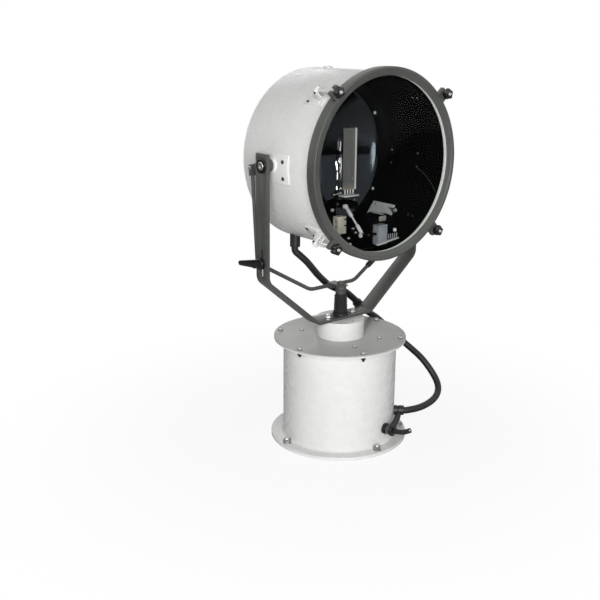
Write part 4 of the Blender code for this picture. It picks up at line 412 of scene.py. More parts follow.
def pane(name, clear=0.95, index=1.08):
    """Clear sheet: what is behind shows, and a faint image of the room lies over it."""
    material, nodes, links, shader = blank_material(name)
    out = next(node for node in nodes if node.type == "OUTPUT_MATERIAL")
    nodes.remove(shader)
    through = nodes.new("ShaderNodeBsdfTransparent")
    smudge = ranged(nodes, links, noise(nodes, links, 9, 5), 0.35, 0.75, 0, 1)
    smeared = (clear - 0.03, clear - 0.02, clear - 0.03)
    links.new(mixed(nodes, links, smudge, (clear, clear, clear), smeared), through.inputs["Color"])
    gloss = nodes.new("ShaderNodeBsdfGlossy")
    gloss.inputs["Color"].default_value = (1, 1, 1, 1)
    gloss.inputs["Roughness"].default_value = 0.02
    fresnel = nodes.new("ShaderNodeFresnel")
    fresnel.inputs["IOR"].default_value = index
    blended(nodes, links, fresnel.outputs["Fac"], through, gloss, out)
    return material


WHITE = coated("white_paint", (0.8, 0.8, 0.79), 0.27, grain=420, strength=0.015, mottle=0.02,
               dust=(0.74, 0.74, 0.73), specular=0.35)
# The top plate is the drum's white paint; this dimmed copy is painted shade on its upward faces, and the
# bolt heads and swing-bolt shanks share it.
SHADED_WHITE = coated("plate_paint", (0.56, 0.56, 0.54), 0.36, grain=420, strength=0.06, dust=(0.46, 0.46, 0.44),
               specular=0.3)
GREY = coated("grey_powder_coat", (0.066, 0.07, 0.063), 0.4, grain=1500, strength=0.22, distance=0.0002,
              mottle=0.14, dust=(0.11, 0.11, 0.1))
LINK_GREY = coated("link_grey", (0.054, 0.056, 0.052), 0.48, grain=1500, strength=0.2, distance=0.0002,
                   mottle=0.14, dust=(0.13, 0.13, 0.12))
BLACK_MATT = coated("barrel_black", (0.0042, 0.0045, 0.0048), 0.85, grain=2600, distance=0.0002,
                    mottle=0.25, dust=(0.009, 0.009, 0.009), specular=0.0)
BLACK_SATIN = coated("satin_black", (0.012, 0.012, 0.013), 0.42, grain=900, strength=0.15, mottle=0.2,
                     dust=(0.03, 0.03, 0.03), specular=0.4)
KNOB_BLACK = coated("knob_black", (0.0025, 0.0025, 0.003), 0.14, grain=600, strength=0.04, mottle=0.15,
                    dust=(0.012, 0.012, 0.012), specular=0.45)
RUBBER = coated("rubber", (0.013, 0.013, 0.013), 0.6, grain=1100, strength=0.3, mottle=0.2,
                dust=(0.045, 0.043, 0.04), specular=0.35)
HOSE = coated("hose", (0.007, 0.007, 0.0075), 0.46, grain=700, strength=0.16, mottle=0.2,
              dust=(0.03, 0.03, 0.03), specular=0.4)
SILICONE = coated("silicone", (0.7, 0.7, 0.68), 0.4, grain=700, strength=0.08, mottle=0.06,
                  dust=(0.55, 0.55, 0.52))
CERAMIC = coated("ceramic", (0.86, 0.82, 0.68), 0.5, grain=1300, strength=0.15, mottle=0.08,
                 dust=(0.6, 0.54, 0.4))
SATIN = coated("satin_steel", (0.66, 0.67, 0.67), 0.3, grain=900, strength=0.05, mottle=0.08,
               dust=(0.5, 0.5, 0.5))
BOX_GREY = coated("box_grey", (0.24, 0.26, 0.285), 0.42, grain=700, strength=0.06, mottle=0.1,
                  dust=(0.2, 0.2, 0.21))
WARM_GREY = coated("warm_grey", (0.27, 0.255, 0.225), 0.48, grain=900, strength=0.08, mottle=0.12,
                   dust=(0.18, 0.17, 0.15))
STAINLESS = metal("stainless", (0.6, 0.6, 0.59), 0.26, scale=500)
DULL_STEEL = metal("dull_steel", (0.33, 0.33, 0.33), 0.42, scale=350, mottle=0.16)
TURNED = metal("turned_steel", (0.58, 0.58, 0.57), 0.22, stretch=(0.08, 1, 1), scale=900)
BRONZE = metal("bronze", (0.42, 0.29, 0.13), 0.36)
DARKENED_MIRROR = darkened_mirror("polished_dish_painted_dark")
GLASS = pane("clear_glass")
BULB_GLASS = pane("lamp_glass", 0.9, 1.4)
HOOD_SHEET = heat_marked("hood_sheet", (0.125, 0.125, 0.12), (0.29, 0.26, 0.19), 0.618, 0.64)
PALE_SHEET = coated("pale_sheet", (0.4, 0.41, 0.42), 0.42, grain=600, strength=0.06, mottle=0.1,
                    dust=(0.28, 0.28, 0.28))


# Shapes

def turned(profile, segments=MANY, lobes=0, lobe_depth=0.0):
    """Closed solid turned about Z from (radius, height) points; a radius of 0 is a pole."""
    shape = bmesh.new()
    outer = max(point[0] for point in profile)
    rings = []
    for radius, height in profile:
        if radius == 0:
            rings.append([shape.verts.new((0, 0, height))] * segments)
            continue
        ring = []
        for step in range(segments):
            angle = 2 * math.pi * step / segments
            reach = radius + lobe_depth * math.cos(lobes * angle) * (radius / outer) ** 4
            ring.append(shape.verts.new((reach * math.cos(angle), reach * math.sin(angle), height)))
        rings.append(ring)
    for ring, following in zip(rings, rings[1:] + rings[:1]):
        for step in range(segments):
            after = (step + 1) % segments
            corners = []
            for corner in (ring[step], ring[after], following[after], following[step]):
                if corner not in corners:
                    corners.append(corner)
            if len(corners) > 2:
                shape.faces.new(corners)
    return shape


def softened_profile(points, steps=3):
    """Closed profile whose corners are rounded where a point has a third number, its radius."""
    result = []
    count = len(points)
    for index, point in enumerate(points):
        here = Vector(point[:2])
        if len(point) < 3:
            result.append(tuple(here))
            continue
        before = Vector(points[index - 1][:2]) - here
        after = Vector(points[(index + 1) % count][:2]) - here
        half = before.angle(after) / 2
        cut = min(point[2] / math.tan(half), 0.48 * before.length, 0.48 * after.length)
        start = here + before.normalized() * cut
        end = here + after.normalized() * cut
        for step in range(steps + 1):
            t = step / steps
            result.append(tuple(start.lerp(here, t).lerp(here.lerp(end, t), t)))
    return result


def lathe(points, segments=MANY, steps=3, **lobes):
    return turned(softened_profile(points, steps), segments, **lobes)


def moved(shape, *matrices):
    """Shape after the matrices, the last one first."""
    whole = Matrix.Identity(4)
    for matrix in matrices:
        whole = whole @ matrix
    bmesh.ops.transform(shape, matrix=whole, verts=shape.verts)
    return shape


def at(x, y, z):
    return Matrix.Translation((x, y, z))


def rod(radius, low, high, axis="Z", place=(0, 0, 0), sides=SOME, edge=0.0):
    """Round bar along an axis with eased ends."""
    points = [(0, low), (radius, low, edge), (radius, high, edge), (0, high)]
    if not edge:
        points = [point[:2] for point in points]
    shape = turned(softened_profile(points, 2), sides)
    turn = {"X": ALONG_X, "Y": ALONG_Y, "Z": Matrix.Identity(4)}[axis]
    return moved(shape, Matrix.Translation(place), turn)


def skinned(shape, rings):
    """Shape closed with faces between its rings of points and over both ends."""
    count = len(rings[0])
    for ring, following in zip(rings, rings[1:]):
        for step in range(count):
            after = (step + 1) % count
            shape.faces.new((ring[step], ring[after], following[after], following[step]))
    shape.faces.new(rings[0])
    shape.faces.new(rings[-1])
    return shape


def prism(outline, low, high, axis):
    spread = {
        "X": lambda u, v, w: (w, u, v),
        "Y": lambda u, v, w: (u, w, v),
        "Z": lambda u, v, w: (u, v, w),
    }[axis]
    shape = bmesh.new()
    rings = []
    for height in (low, high):
        rings.append([shape.verts.new(spread(u, v, height)) for u, v in outline])
    return skinned(shape, rings)


def box(x, y, z):
    outline = [(x[0], y[0]), (x[1], y[0]), (x[1], y[1]), (x[0], y[1])]
    return prism(outline, z[0], z[1], "Z")


def eased(shape, width, segments=2, least=30):
    """Shape with every edge sharper than an angle rounded over."""
    bmesh.ops.recalc_face_normals(shape, faces=shape.faces)
    sharp = [edge for edge in shape.edges
             if len(edge.link_faces) == 2 and edge.calc_face_angle(0) > math.radians(least)]
    bmesh.ops.bevel(shape, geom=sharp, offset=width, segments=segments, profile=0.5, affect="EDGES",
                    clamp_overlap=True)
    return shape


def block(x, y, z, width, segments=2):
    """Box with eased edges."""
    return eased(box(x, y, z), width, segments)


def arc(centre, radius, start, end, steps):
    points = []
    for step in range(steps + 1):
        angle = math.radians(start + (end - start) * step / steps)
        points.append((centre[0] + radius * math.cos(angle), centre[1] + radius * math.sin(angle)))
    return points


def two_circle_hull(first, first_radius, second, second_radius, steps=14):
    reach = math.dist(first, second)
    heading = math.degrees(math.atan2(second[1] - first[1], second[0] - first[0]))
    lean = math.degrees(math.acos((first_radius - second_radius) / reach))
    far = arc(second, second_radius, heading - lean, heading + lean, steps)
    near = arc(first, first_radius, heading + lean, heading + 360 - lean, steps)
    return far + near


def rounded(points, radii, steps=12):
    """Open path whose inner corners are replaced by arcs."""
    path = [Vector(points[0])]
    for before, corner, after, radius in zip(points, points[1:], points[2:], radii):
        corner = Vector(corner)
        back = (Vector(before) - corner).normalized()
        ahead = (Vector(after) - corner).normalized()
        half = back.angle(ahead) / 2
        centre = corner + (back + ahead).normalized() * (radius / math.sin(half))
        start = corner + back * (radius / math.tan(half)) - centre
        end = corner + ahead * (radius / math.tan(half)) - centre
        sweep = start.angle(end)
        for step in range(steps + 1):
            share = step / steps
            mix = start * math.sin((1 - share) * sweep) + end * math.sin(share * sweep)
            path.append(centre + mix / math.sin(sweep))
    path.append(Vector(points[-1]))
    return path


def offset_path(points, distance):
    """Open path moved to its left by a distance, with its corners mitred."""
    result = []
    for index, point in enumerate(points):
        here = Vector(point)
        before = Vector(points[index - 1]) if index else None
        after = Vector(points[index + 1]) if index + 1 < len(points) else None
        into = (here - before).normalized() if before is not None else (after - here).normalized()
        out = (after - here).normalized() if after is not None else into
        left_in = Vector((-into.y, into.x))
        left_out = Vector((-out.y, out.x))
        miter = (left_in + left_out).normalized()
        result.append(here + miter * (distance / miter.dot(left_in)))
    return result


def swept(path, radius, sides=FEW):
    """Round bar along a path; radius is one number or one for each point."""
    shape = bmesh.new()
    points = [Vector(point) for point in path]
    side = None
    rings = []
    for index, point in enumerate(points):
        before = points[max(index - 1, 0)]
        after = points[min(index + 1, len(points) - 1)]
        heading = (after - before).normalized()
        reference = side if side is not None else Vector((0.1, 0.99, 0.05))
        side = (reference - heading * reference.dot(heading)).normalized()
        other = heading.cross(side)
        reach = radius if isinstance(radius, float) else radius[index]
        ring = []
        for step in range(sides):
            angle = 2 * math.pi * step / sides
            ring.append(shape.verts.new(point + (side * math.cos(angle) + other * math.sin(angle)) * reach))
        rings.append(ring)
    return skinned(shape, rings)


def smooth_route(points, spacing):
    """Points every spacing or so along a Catmull-Rom curve."""
    route = [Vector(point) for point in points]
    padded = [route[0] * 2 - route[1]] + route + [route[-1] * 2 - route[-2]]
    curve = [route[0]]
    for before, start, end, after in zip(padded, padded[1:], padded[2:], padded[3:]):
        steps = max(1, round((end - start).length / spacing))
        for step in range(1, steps + 1):
            t = step / steps
            bend = 2 * before - 5 * start + 4 * end - after
            twist = 3 * start - before - 3 * end + after
            curve.append((2 * start + (end - before) * t + bend * t ** 2 + twist * t ** 3) / 2)
    return curve


def carved(shape, cutters):
    """Shape less the cutters, as a new shape."""
    objects = []
    for number, part in enumerate([shape, *cutters]):
        bmesh.ops.recalc_face_normals(part, faces=part.faces)
        mesh = bpy.data.meshes.new(f"carve_{number}")
        part.to_mesh(mesh)
        part.free()
        obj = bpy.data.objects.new(f"carve_{number}", mesh)
        bpy.context.scene.collection.objects.link(obj)
        objects.append(obj)
    for cutter in objects[1:]:
        step = objects[0].modifiers.new("cut", "BOOLEAN")
        step.operation = "DIFFERENCE"
        step.solver = "EXACT"
        step.object = cutter
    bpy.context.view_layer.update()
    result = bmesh.new()
    evaluated = objects[0].evaluated_get(bpy.context.evaluated_depsgraph_get())
    result.from_mesh(evaluated.to_mesh())
    evaluated.to_mesh_clear()
    for obj in objects:
        mesh = obj.data
        bpy.data.objects.remove(obj)
        bpy.data.meshes.remove(mesh)
    return result


def piece(name, parts, body, stands_for=(), angle=SHARP):
    """One object from (shape, material) parts, which rides on a body and stands for CAD nodes."""
    whole = bmesh.new()
    looks = []
    for shape, look in parts:
        if look not in looks:
            looks.append(look)
        bmesh.ops.recalc_face_normals(shape, faces=shape.faces)
        for face in shape.faces:
            face.material_index = looks.index(look)
        mesh = bpy.data.meshes.new("part")
        shape.to_mesh(mesh)
        shape.free()
        whole.from_mesh(mesh)
        bpy.data.meshes.remove(mesh)
    mesh = bpy.data.meshes.new(name)
    whole.to_mesh(mesh)
    whole.free()
    for look in looks:
        mesh.materials.append(look)
    obj = bpy.data.objects.new(name, mesh)
    bpy.context.scene.collection.objects.link(obj)
    mesh.shade_smooth()
    mesh.set_sharp_from_angle(angle=math.radians(angle))
    if body:
        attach(obj, body)
    if stands_for:
        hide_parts(*stands_for)
    return obj


def on_circle(radius, degrees, height):
    angle = math.radians(degrees)
    return Vector((radius * math.cos(angle), radius * math.sin(angle), height))


def radial(degrees, height):
    """Frame whose Z axis points straight out from the pedestal's axis."""
    return at(0, 0, height) @ Matrix.Rotation(math.radians(degrees), 4, "Z") @ ALONG_X


def about_lamp(shape):
    """Turned shape whose height becomes its place along the barrel's axis."""
    return moved(shape, at(0, 0, TILT_AXIS), ALONG_Y)


def round_lamp(shape, degrees):
    """Shape made at the top of the barrel moved round to an angle."""
    return moved(shape, at(0, 0, TILT_AXIS), Matrix.Rotation(math.radians(90 - degrees), 4, "Y"))


# Fasteners, made upright with the seat at height 0

def hex_head(corner_radius, height):
    """Hexagon whose top corners are turned away, as on a real nut or head."""
    flat = corner_radius * math.cos(math.pi / 6)
    drop = (corner_radius - flat) / 4
    shape = bmesh.new()
    rings = []
    segments = 48
    levels = ((0, corner_radius), (height - 2 * drop, corner_radius),
              (height - drop, (flat + corner_radius) / 2), (height, flat * 0.97))
    for level, limit in levels:
        ring = []
        for step in range(segments):
            angle = 2 * math.pi * step / segments
            local = (angle % (math.pi / 3)) - math.pi / 6
            reach = min(flat / math.cos(local), limit)
            ring.append(shape.verts.new((reach * math.cos(angle), reach * math.sin(angle), level)))
        rings.append(ring)
    return skinned(shape, rings)


def washer(radius, height):
    return lathe([(0, 0), (radius, 0), (radius, height, height / 2), (0, height)], SOME, 2)


def thread(radius, low, high, pitch=0.00125):
    """Bar with thread ridges and a pointed end."""
    points = [(0, low), (radius * 0.9, low)]
    count = max(1, int((high - low - pitch) / pitch))
    for number in range(count):
        level = low + number * pitch
        points.append((radius * 0.9, level + pitch * 0.1))
        points.append((radius, level + pitch * 0.5))
    points.append((radius * 0.9, low + count * pitch))
    points.append((radius * 0.8, high))
    points.append((0, high))
    return turned(points, FEW)


def socket_screw(radius, height):
    """Round-headed screw with a hexagon socket."""
    head = lathe([(0, 0), (radius, 0), (radius, height * 0.35, height * 0.3),
                  (radius * 0.62, height, height * 0.3), (0, height)], SOME)
    socket = prism([tuple(on_circle(radius * 0.42, 60 * step, 0)[:2]) for step in range(6)],
                   height * 0.35, height * 1.5, "Z")
    return carved(head, [socket])


# Pedestal

def pedestal():
    inner = DRUM_RADIUS - DRUM_WALL
    rim_low = DRUM_TOP - 0.003
    shell = lathe([
        (0, 0), (BASE_RADIUS, 0, 0.001), (BASE_RADIUS, BASE_THICKNESS, 0.0015),
        (DRUM_RADIUS + 0.0045, BASE_THICKNESS, 0.002), (DRUM_RADIUS, BASE_THICKNESS + 0.0045, 0.003),
        (DRUM_RADIUS, rim_low - 0.004, 0.003), (DRUM_RADIUS + 0.004, rim_low, 0.0015),
        (RIM_RADIUS, rim_low, 0.0006), (RIM_RADIUS, DRUM_TOP, 0.0007), (RIM_BORE, DRUM_TOP),
        (RIM_BORE, rim_low), (inner, rim_low), (inner, BASE_THICKNESS), (0, BASE_THICKNESS),
    ], MOST)
    piece("pedestal_shell", [(shell, WHITE)], "pedestal", ["pedestal_drum"])


def rim_plate():
    """Cover plate with its bolts round the rim and the small screws of the bearing inside them."""
    plate = lathe([(PLATE_BORE, PLATE_LOW), (RIM_RADIUS, PLATE_LOW, 0.0006), (RIM_RADIUS, DECK, 0.0009),
                   (PLATE_BORE, DECK)], MOST)
    parts = [(plate, SHADED_WHITE)]
    nut_top = DRUM_TOP - 0.003 - GAP
    for angle in RIM_BOLT_ANGLES:
        place = Matrix.Translation(on_circle(RIM_BOLT_CIRCLE, angle, DECK))
        turn = Matrix.Rotation(math.radians(angle * 1.7), 4, "Z")
        # The dark washer round each light head is painted shadow: the dark arc that a proud head casts
        # behind it.
        parts.append((moved(washer(0.007, 0.0009), place), BLACK_SATIN))
        parts.append((moved(hex_head(0.0058, 0.0042), place, at(0, 0, 0.0007), turn), SHADED_WHITE))
        under = Matrix.Translation(on_circle(RIM_BOLT_CIRCLE, angle, nut_top))
        nut = lathe([(0, 0), (0.0068, 0), (0.0062, 0.0045), (0.0022, 0.0125), (0, 0.0125)], FEW)
        parts.append((moved(nut, under, UPSIDE_DOWN), BLACK_SATIN))
    for angle in INNER_SCREW_ANGLES:
        inner = Matrix.Translation(on_circle(INNER_SCREW_CIRCLE, angle, DECK))
        # The same painted shadow round each screw head.
        parts.append((moved(washer(0.0058, 0.0007), inner), BLACK_SATIN))
        parts.append((moved(socket_screw(0.0046, 0.003), inner, at(0, 0, 0.0005)), SHADED_WHITE))
    piece("rim_plate", parts, "pedestal", ["top_plate"])


def deck_bolts():
    for number, angle in enumerate(DECK_BOLT_ANGLES, 1):
        seat = Matrix.Translation(on_circle(DECK_BOLT_CIRCLE, angle, BASE_THICKNESS + GAP))
        turn = Matrix.Rotation(math.radians(23 * number), 4, "Z")
        parts = [
            (moved(washer(0.01, 0.002), seat), DULL_STEEL),
            (moved(hex_head(0.0092, 0.008), seat, at(0, 0, 0.002), turn), DULL_STEEL),
            (moved(thread(0.005, -0.0078, 0.013, 0.0015), seat), STAINLESS),
        ]
        piece(f"deck_nut_{number}", parts, "pedestal", [f"deck_bolt_{number}"])


def glands():
    seat = DRUM_RADIUS + GAP
    inner = DRUM_RADIUS - DRUM_WALL - 0.01
    stem, rim = 0.0077, 0.0137
    place = radial(HOSE_GLAND_ANGLE, HOSE_GLAND_HEIGHT)
    body = lathe([
        (0, inner), (stem, inner), (stem, seat), (0.0125, seat, 0.0006), (0.0125, seat + 0.008, 0.0006),
        (0.0108, seat + 0.0085), (0.0108, seat + 0.0105), (0.0125, seat + 0.011, 0.0006),
        (0.0122, seat + 0.0245, 0.0015), (0.0088, seat + 0.025), (0.0088, seat + 0.015), (0, seat + 0.015),
    ], SOME)
    piece("hose_gland", [(moved(body, place), BLACK_SATIN)], "pedestal", ["conduit_gland"])
    place = radial(CABLE_GLAND_ANGLE, CABLE_GLAND_HEIGHT)
    end = seat + CABLE_GLAND_LENGTH
    body = lathe([
        (0, inner), (stem, inner), (stem, seat), (rim, seat, 0.0005), (rim, seat + 0.0075, 0.001),
        (0.0105, seat + 0.0082), (0.0105, end - 0.009), (rim, end - 0.0083, 0.001),
        (rim, end - 0.001, 0.0012), (0.0063, end), (0.0063, end - CABLE_GLAND_SOCKET),
        (0, end - CABLE_GLAND_SOCKET),
    ], SOME)
    ring = lathe([(0.0104, seat + 0.0088), (0.0118, seat + 0.01, 0.0004), (0.0118, seat + 0.0165, 0.0004),
                  (0.0104, seat + 0.0178)], SOME)
    parts = [(moved(body, place), KNOB_BLACK), (moved(ring, place), LINK_GREY)]
    piece("cable_gland_body", parts, "pedestal", ["cable_gland"])


def gland_lead():
    points = []
    start, end, steps = -47.85, -72.3, 12
    circle, level, drop = 0.151, 0.055, 0.0085
    for step in range(steps + 1):
        share = step / steps
        points.append(on_circle(circle, start + (end - start) * share, level - drop * share))
    piece("lead_between_glands", [(swept(points, 0.0072, 24), HOSE)], "pedestal", ["gland_lead"])


def cable_stub():
    """Cut length of control cable in the lower gland, with its cores just showing at the end."""
    start = DRUM_RADIUS + GAP + CABLE_GLAND_LENGTH - CABLE_GLAND_SOCKET + GAP
    mouth = start + CABLE_GLAND_SOCKET
    rise = math.tan(math.radians(19))
    free_length, stub_radius = 0.048, 0.006
    points = []
    for share in (0, 0.5, 1):
        points.append(on_circle(start + CABLE_GLAND_SOCKET * share, CABLE_GLAND_ANGLE, CABLE_GLAND_HEIGHT))
    for share in (0.4, 0.7, 0.95):
        reach = free_length * share
        height = CABLE_GLAND_HEIGHT + rise * reach * share
        points.append(on_circle(mouth + reach, CABLE_GLAND_ANGLE, height))
    route = smooth_route(points, 0.004)
    parts = [(swept(route, stub_radius, 24), RUBBER)]
    end, before = route[-1], route[-3]
    heading = (end - before).normalized()
    turn = heading.to_track_quat("Z", "Y").to_matrix().to_4x4()
    for number in range(5):
        offset = on_circle(0.003, 72 * number + 18, 0)
        core = rod(0.0015, -0.002, 0.0026, sides=12, edge=0.0003)
        parts.append((moved(core, Matrix.Translation(end) @ turn, Matrix.Translation(offset)),
                      (SILICONE, KNOB_BLACK)[number % 2]))
    piece("cable_stub", parts, "pedestal", ["control_cable"])


# Turntable and yoke

def turntable():
    ceiling = TURNTABLE_TOP - 0.006
    inner = TURNTABLE_RADIUS - 0.006
    shell = lathe([
        (ROD_BORE, TURNTABLE_TOP), (ROD_BORE, SPINDLE_BOTTOM), (SPINDLE_RADIUS, SPINDLE_BOTTOM),
        (SPINDLE_RADIUS, ceiling), (inner, ceiling), (inner, TURNTABLE_LOW),
        (TURNTABLE_RADIUS, TURNTABLE_LOW, 0.0005), (TURNTABLE_RADIUS, TURNTABLE_TOP, 0.0018),
    ], 128)
    plug = moved(washer(0.004, 0.001), at(0.0015, -0.045, TURNTABLE_TOP - 0.0002))
    piece("turntable_shell", [(shell, WHITE), (plug, DULL_STEEL)], "turntable", ["turntable_drum"])


def yoke_strap():
    path = [
        (-YOKE_HALF_SPAN, YOKE_TOP), (-YOKE_HALF_SPAN, YOKE_BEND_HEIGHT), (-YOKE_BASE_HALF, YOKE_BOTTOM),
        (YOKE_BASE_HALF, YOKE_BOTTOM), (YOKE_HALF_SPAN, YOKE_BEND_HEIGHT), (YOKE_HALF_SPAN, YOKE_TOP),
    ]
    outer_radii = (0.03, 0.01, 0.01, 0.03)
    inner_radii = [radius - STRAP_THICKNESS for radius in outer_radii]
    outer = rounded(path, outer_radii)
    inner = rounded(offset_path(path, STRAP_THICKNESS), inner_radii)
    half = STRAP_WIDTH / 2
    strap = bmesh.new()
    lines = []
    for points in (outer, inner):
        for y in (-half, half):
            lines.append([strap.verts.new((point[0], y, point[1])) for point in points])
    outer_front, outer_back, inner_front, inner_back = lines
    for first, second in ((outer_front, outer_back), (inner_back, inner_front), (inner_front, outer_front),
                          (outer_back, inner_back)):
        for step in range(len(first) - 1):
            strap.faces.new((first[step], first[step + 1], second[step + 1], second[step]))
    for end in (0, -1):
        strap.faces.new([line[end] for line in (outer_front, outer_back, inner_back, inner_front)])
    low = (SLOT_Y, SLOT_Z - SLOT_HALF_LENGTH + SLOT_HALF_WIDTH)
    high = (SLOT_Y, SLOT_Z + SLOT_HALF_LENGTH - SLOT_HALF_WIDTH)
    slot = prism(two_circle_hull(low, SLOT_HALF_WIDTH, high, SLOT_HALF_WIDTH), -0.26, -0.22, "X")
    axle = rod(BUSH_RADIUS + GAP, -0.3, 0.3, "X", (0, 0, TILT_AXIS))
    bore = rod(ROD_BORE, 0.29, 0.32)
    strap = eased(carved(strap, [slot, axle, bore]), 0.0009, 2, 50)
    piece("yoke_strap", [(strap, GREY)], "turntable", ["yoke"])


def yoke_bolts():
    for number, side in enumerate((-1, 1), 1):
        seat = at(side * YOKE_BOLT_X, 0, STRAP_TOP + GAP)
        parts = [
            (moved(washer(0.0088, 0.0014), seat), STAINLESS),
            (moved(hex_head(0.0075, 0.0052), seat, at(0, 0, 0.0012), Matrix.Rotation(0.3 * number, 4, "Z")),
             STAINLESS),
            (moved(rod(0.004, -0.018, 0.001), seat), STAINLESS),
        ]
        piece(f"yoke_screw_{number}", parts, "turntable", [f"yoke_bolt_{number}"])


def trunnion_bushes():
    for name, side in SIDES:
        low = ARM_INNER - 0.002
        face = YOKE_HALF_SPAN + GAP
        profile = [(SHAFT_RADIUS + GAP, low), (BUSH_RADIUS, low), (BUSH_RADIUS, face),
                   (BUSH_FLANGE_RADIUS, face, 0.0003), (BUSH_FLANGE_RADIUS, face + 0.0025, 0.001),
                   (SHAFT_RADIUS + GAP, face + 0.0025)]
        shape = lathe([(point[0], side * point[1], *point[2:]) for point in profile])
        piece(f"bush_{name}", [(moved(shape, at(0, 0, TILT_AXIS), ALONG_X), KNOB_BLACK)], "turntable",
              [f"trunnion_bush_{name}"])


def guide():
    bore = ROD_RADIUS + 0.0005
    low = STRAP_TOP + GAP
    stem, collar = ROD_BORE - GAP, 0.0195
    shape = lathe([(bore, low - 0.02), (stem, low - 0.02), (stem, low), (collar, low),
                   (collar, GUIDE_TOP, 0.0008), (bore, GUIDE_TOP)])
    piece("guide_ring", [(shape, BLACK_SATIN)], "turntable", ["guide_bush"])


# Push rod, bow, links and clamp lever

def push_rod():
    hole, hole_floor = 0.0053, 0.3627
    shape = lathe([
        (0, ROD_BOTTOM), (ROD_RADIUS, ROD_BOTTOM), (ROD_RADIUS, ROD_HEAD_BOTTOM),
        (ROD_HEAD_RADIUS, ROD_HEAD_BOTTOM, 0.0012), (ROD_HEAD_RADIUS, 0.3725, 0.0004), (0.0122, 0.3732),
        (ROD_HEAD_RADIUS, 0.374, 0.0004), (ROD_HEAD_RADIUS, ROD_HEAD_TOP, 0.0015), (hole, ROD_HEAD_TOP),
        (hole, hole_floor), (0, hole_floor),
    ])
    piece("push_rod_body", [(shape, LINK_GREY)], "tilt_rod", ["push_rod"])


def bellows():
    """Rubber bellows with rounded folds, one end on the yoke and the other under the rod's head."""
    low = GUIDE_TOP + GAP
    high = ROD_HEAD_BOTTOM - GAP
    bore, cuff, cuff_radius = 0.0118, 0.003, 0.0186
    low_crest, high_crest, fold = 0.0174, 0.016, 0.0026
    ribs = 8
    pitch = (high - low - 2 * cuff) / ribs
    points = [(bore, low), (cuff_radius, low), (cuff_radius, low + cuff)]
    steps = 8
    for step in range(ribs * steps + 1):
        share = step / (ribs * steps)
        crest = low_crest + (high_crest - low_crest) * share
        wave = 0.5 - 0.5 * math.cos(2 * math.pi * step / steps)
        points.append((crest - fold * (1 - wave ** 0.8), low + cuff + pitch * step / steps))
    points += [(0.0136, high - cuff), (0.0136, high), (bore, high)]
    obj = piece("bellows_folds", [(turned(points), RUBBER)], None, ["bellows"], 80)
    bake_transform(obj)


def tilt_bow():
    corners = [(-BOW_END, *BOW_PIN), (-0.071, BOW_BACK, BOW_LOW), (0.071, BOW_BACK, BOW_LOW),
               (BOW_END, *BOW_PIN)]
    bar = swept(rounded(corners, (0.045, 0.045), 18), BOW_RADIUS, 24)
    start, end = Vector(corners[2]), Vector(corners[3])
    collar = swept([start.lerp(end, share) for share in (0.34, 0.37, 0.49, 0.52)],
                   [0.0058, 0.0072, 0.0072, 0.0058], 24)
    plate = block((-0.0125, 0.0125), (-0.0125, 0.0375), (ROD_HEAD_TOP + GAP, SADDLE_TOP), 0.0008)
    lug = block((-0.0122, 0.0122), (0.0245, 0.0372), (0.3725, 0.3855), 0.001)
    pins = [rod(0.0025, -0.2272, -0.2085, "X", (0, *BOW_PIN), edge=0.0004),
            rod(0.0025, 0.2085, 0.2236, "X", (0, *BOW_PIN), edge=0.0004),
            rod(0.0045, 0.2233, 0.2263, "X", (0, *BOW_PIN), edge=0.001)]
    stud, above = (SLOT_Y, SLOT_Z), (SLOT_Y, SLOT_Z + 0.031)
    tab_shape = prism(two_circle_hull(stud, 0.009, BOW_PIN, 0.0078), -0.2296, -0.2269, "X")
    cover = prism(two_circle_hull(stud, 0.0088, above, 0.0085), -0.2294, -0.2271, "X")
    boss = rod(0.009, -0.2312, -0.2293, "X", (0, SLOT_Y, SLOT_Z))
    parts = [(bar, GREY), (plate, GREY), (lug, GREY), (eased(tab_shape, 0.0005), GREY), (boss, GREY),
             (eased(cover, 0.0004), GREY), (collar, BLACK_SATIN)]
    parts += [(pin, STAINLESS) for pin in pins]
    piece("bow_bar", parts, "tilt_rod", ["tilt_bow"])


def bow_bolt():
    seat = at(0, 0, SADDLE_TOP + GAP)
    parts = [
        (moved(washer(0.01, 0.0012), seat), LINK_GREY),
        (moved(hex_head(0.0088, 0.0063), seat, at(0, 0, 0.001), Matrix.Rotation(0.35, 4, "Z")), LINK_GREY),
        (moved(rod(0.0048, -0.02, 0.001), seat), STAINLESS),
    ]
    piece("bow_screw", parts, "tilt_rod", ["bow_bolt"])


def clamp_lever():
    face = -YOKE_HALF_SPAN - GAP
    end = face - 0.008
    place = (0, SLOT_Y, SLOT_Z)
    hub = lathe([(0, face), (0.013, face, 0.0006), (0.013, end, 0.0022), (0.0065, end - 0.0002), (0, end)])
    drop = math.radians(9)
    tip = (SLOT_Y + 0.076 * math.cos(drop), SLOT_Z - 0.076 * math.sin(drop))
    lever = prism(two_circle_hull((SLOT_Y, SLOT_Z), 0.011, tip, 0.0058), end + GAP, end + 0.006, "X")
    stud = rod(0.004, -0.2384, -0.2269, "X", place, edge=0.0003)
    head = rod(0.0065, -0.2266, -0.2246, "X", place, edge=0.0004)
    parts = [(moved(hub, Matrix.Translation(place), ALONG_X), KNOB_BLACK),
             (eased(lever, 0.0018, 3), KNOB_BLACK), (stud, STAINLESS), (head, STAINLESS)]
    piece("clamp_handle", parts, "lever", ["clamp_lever"])


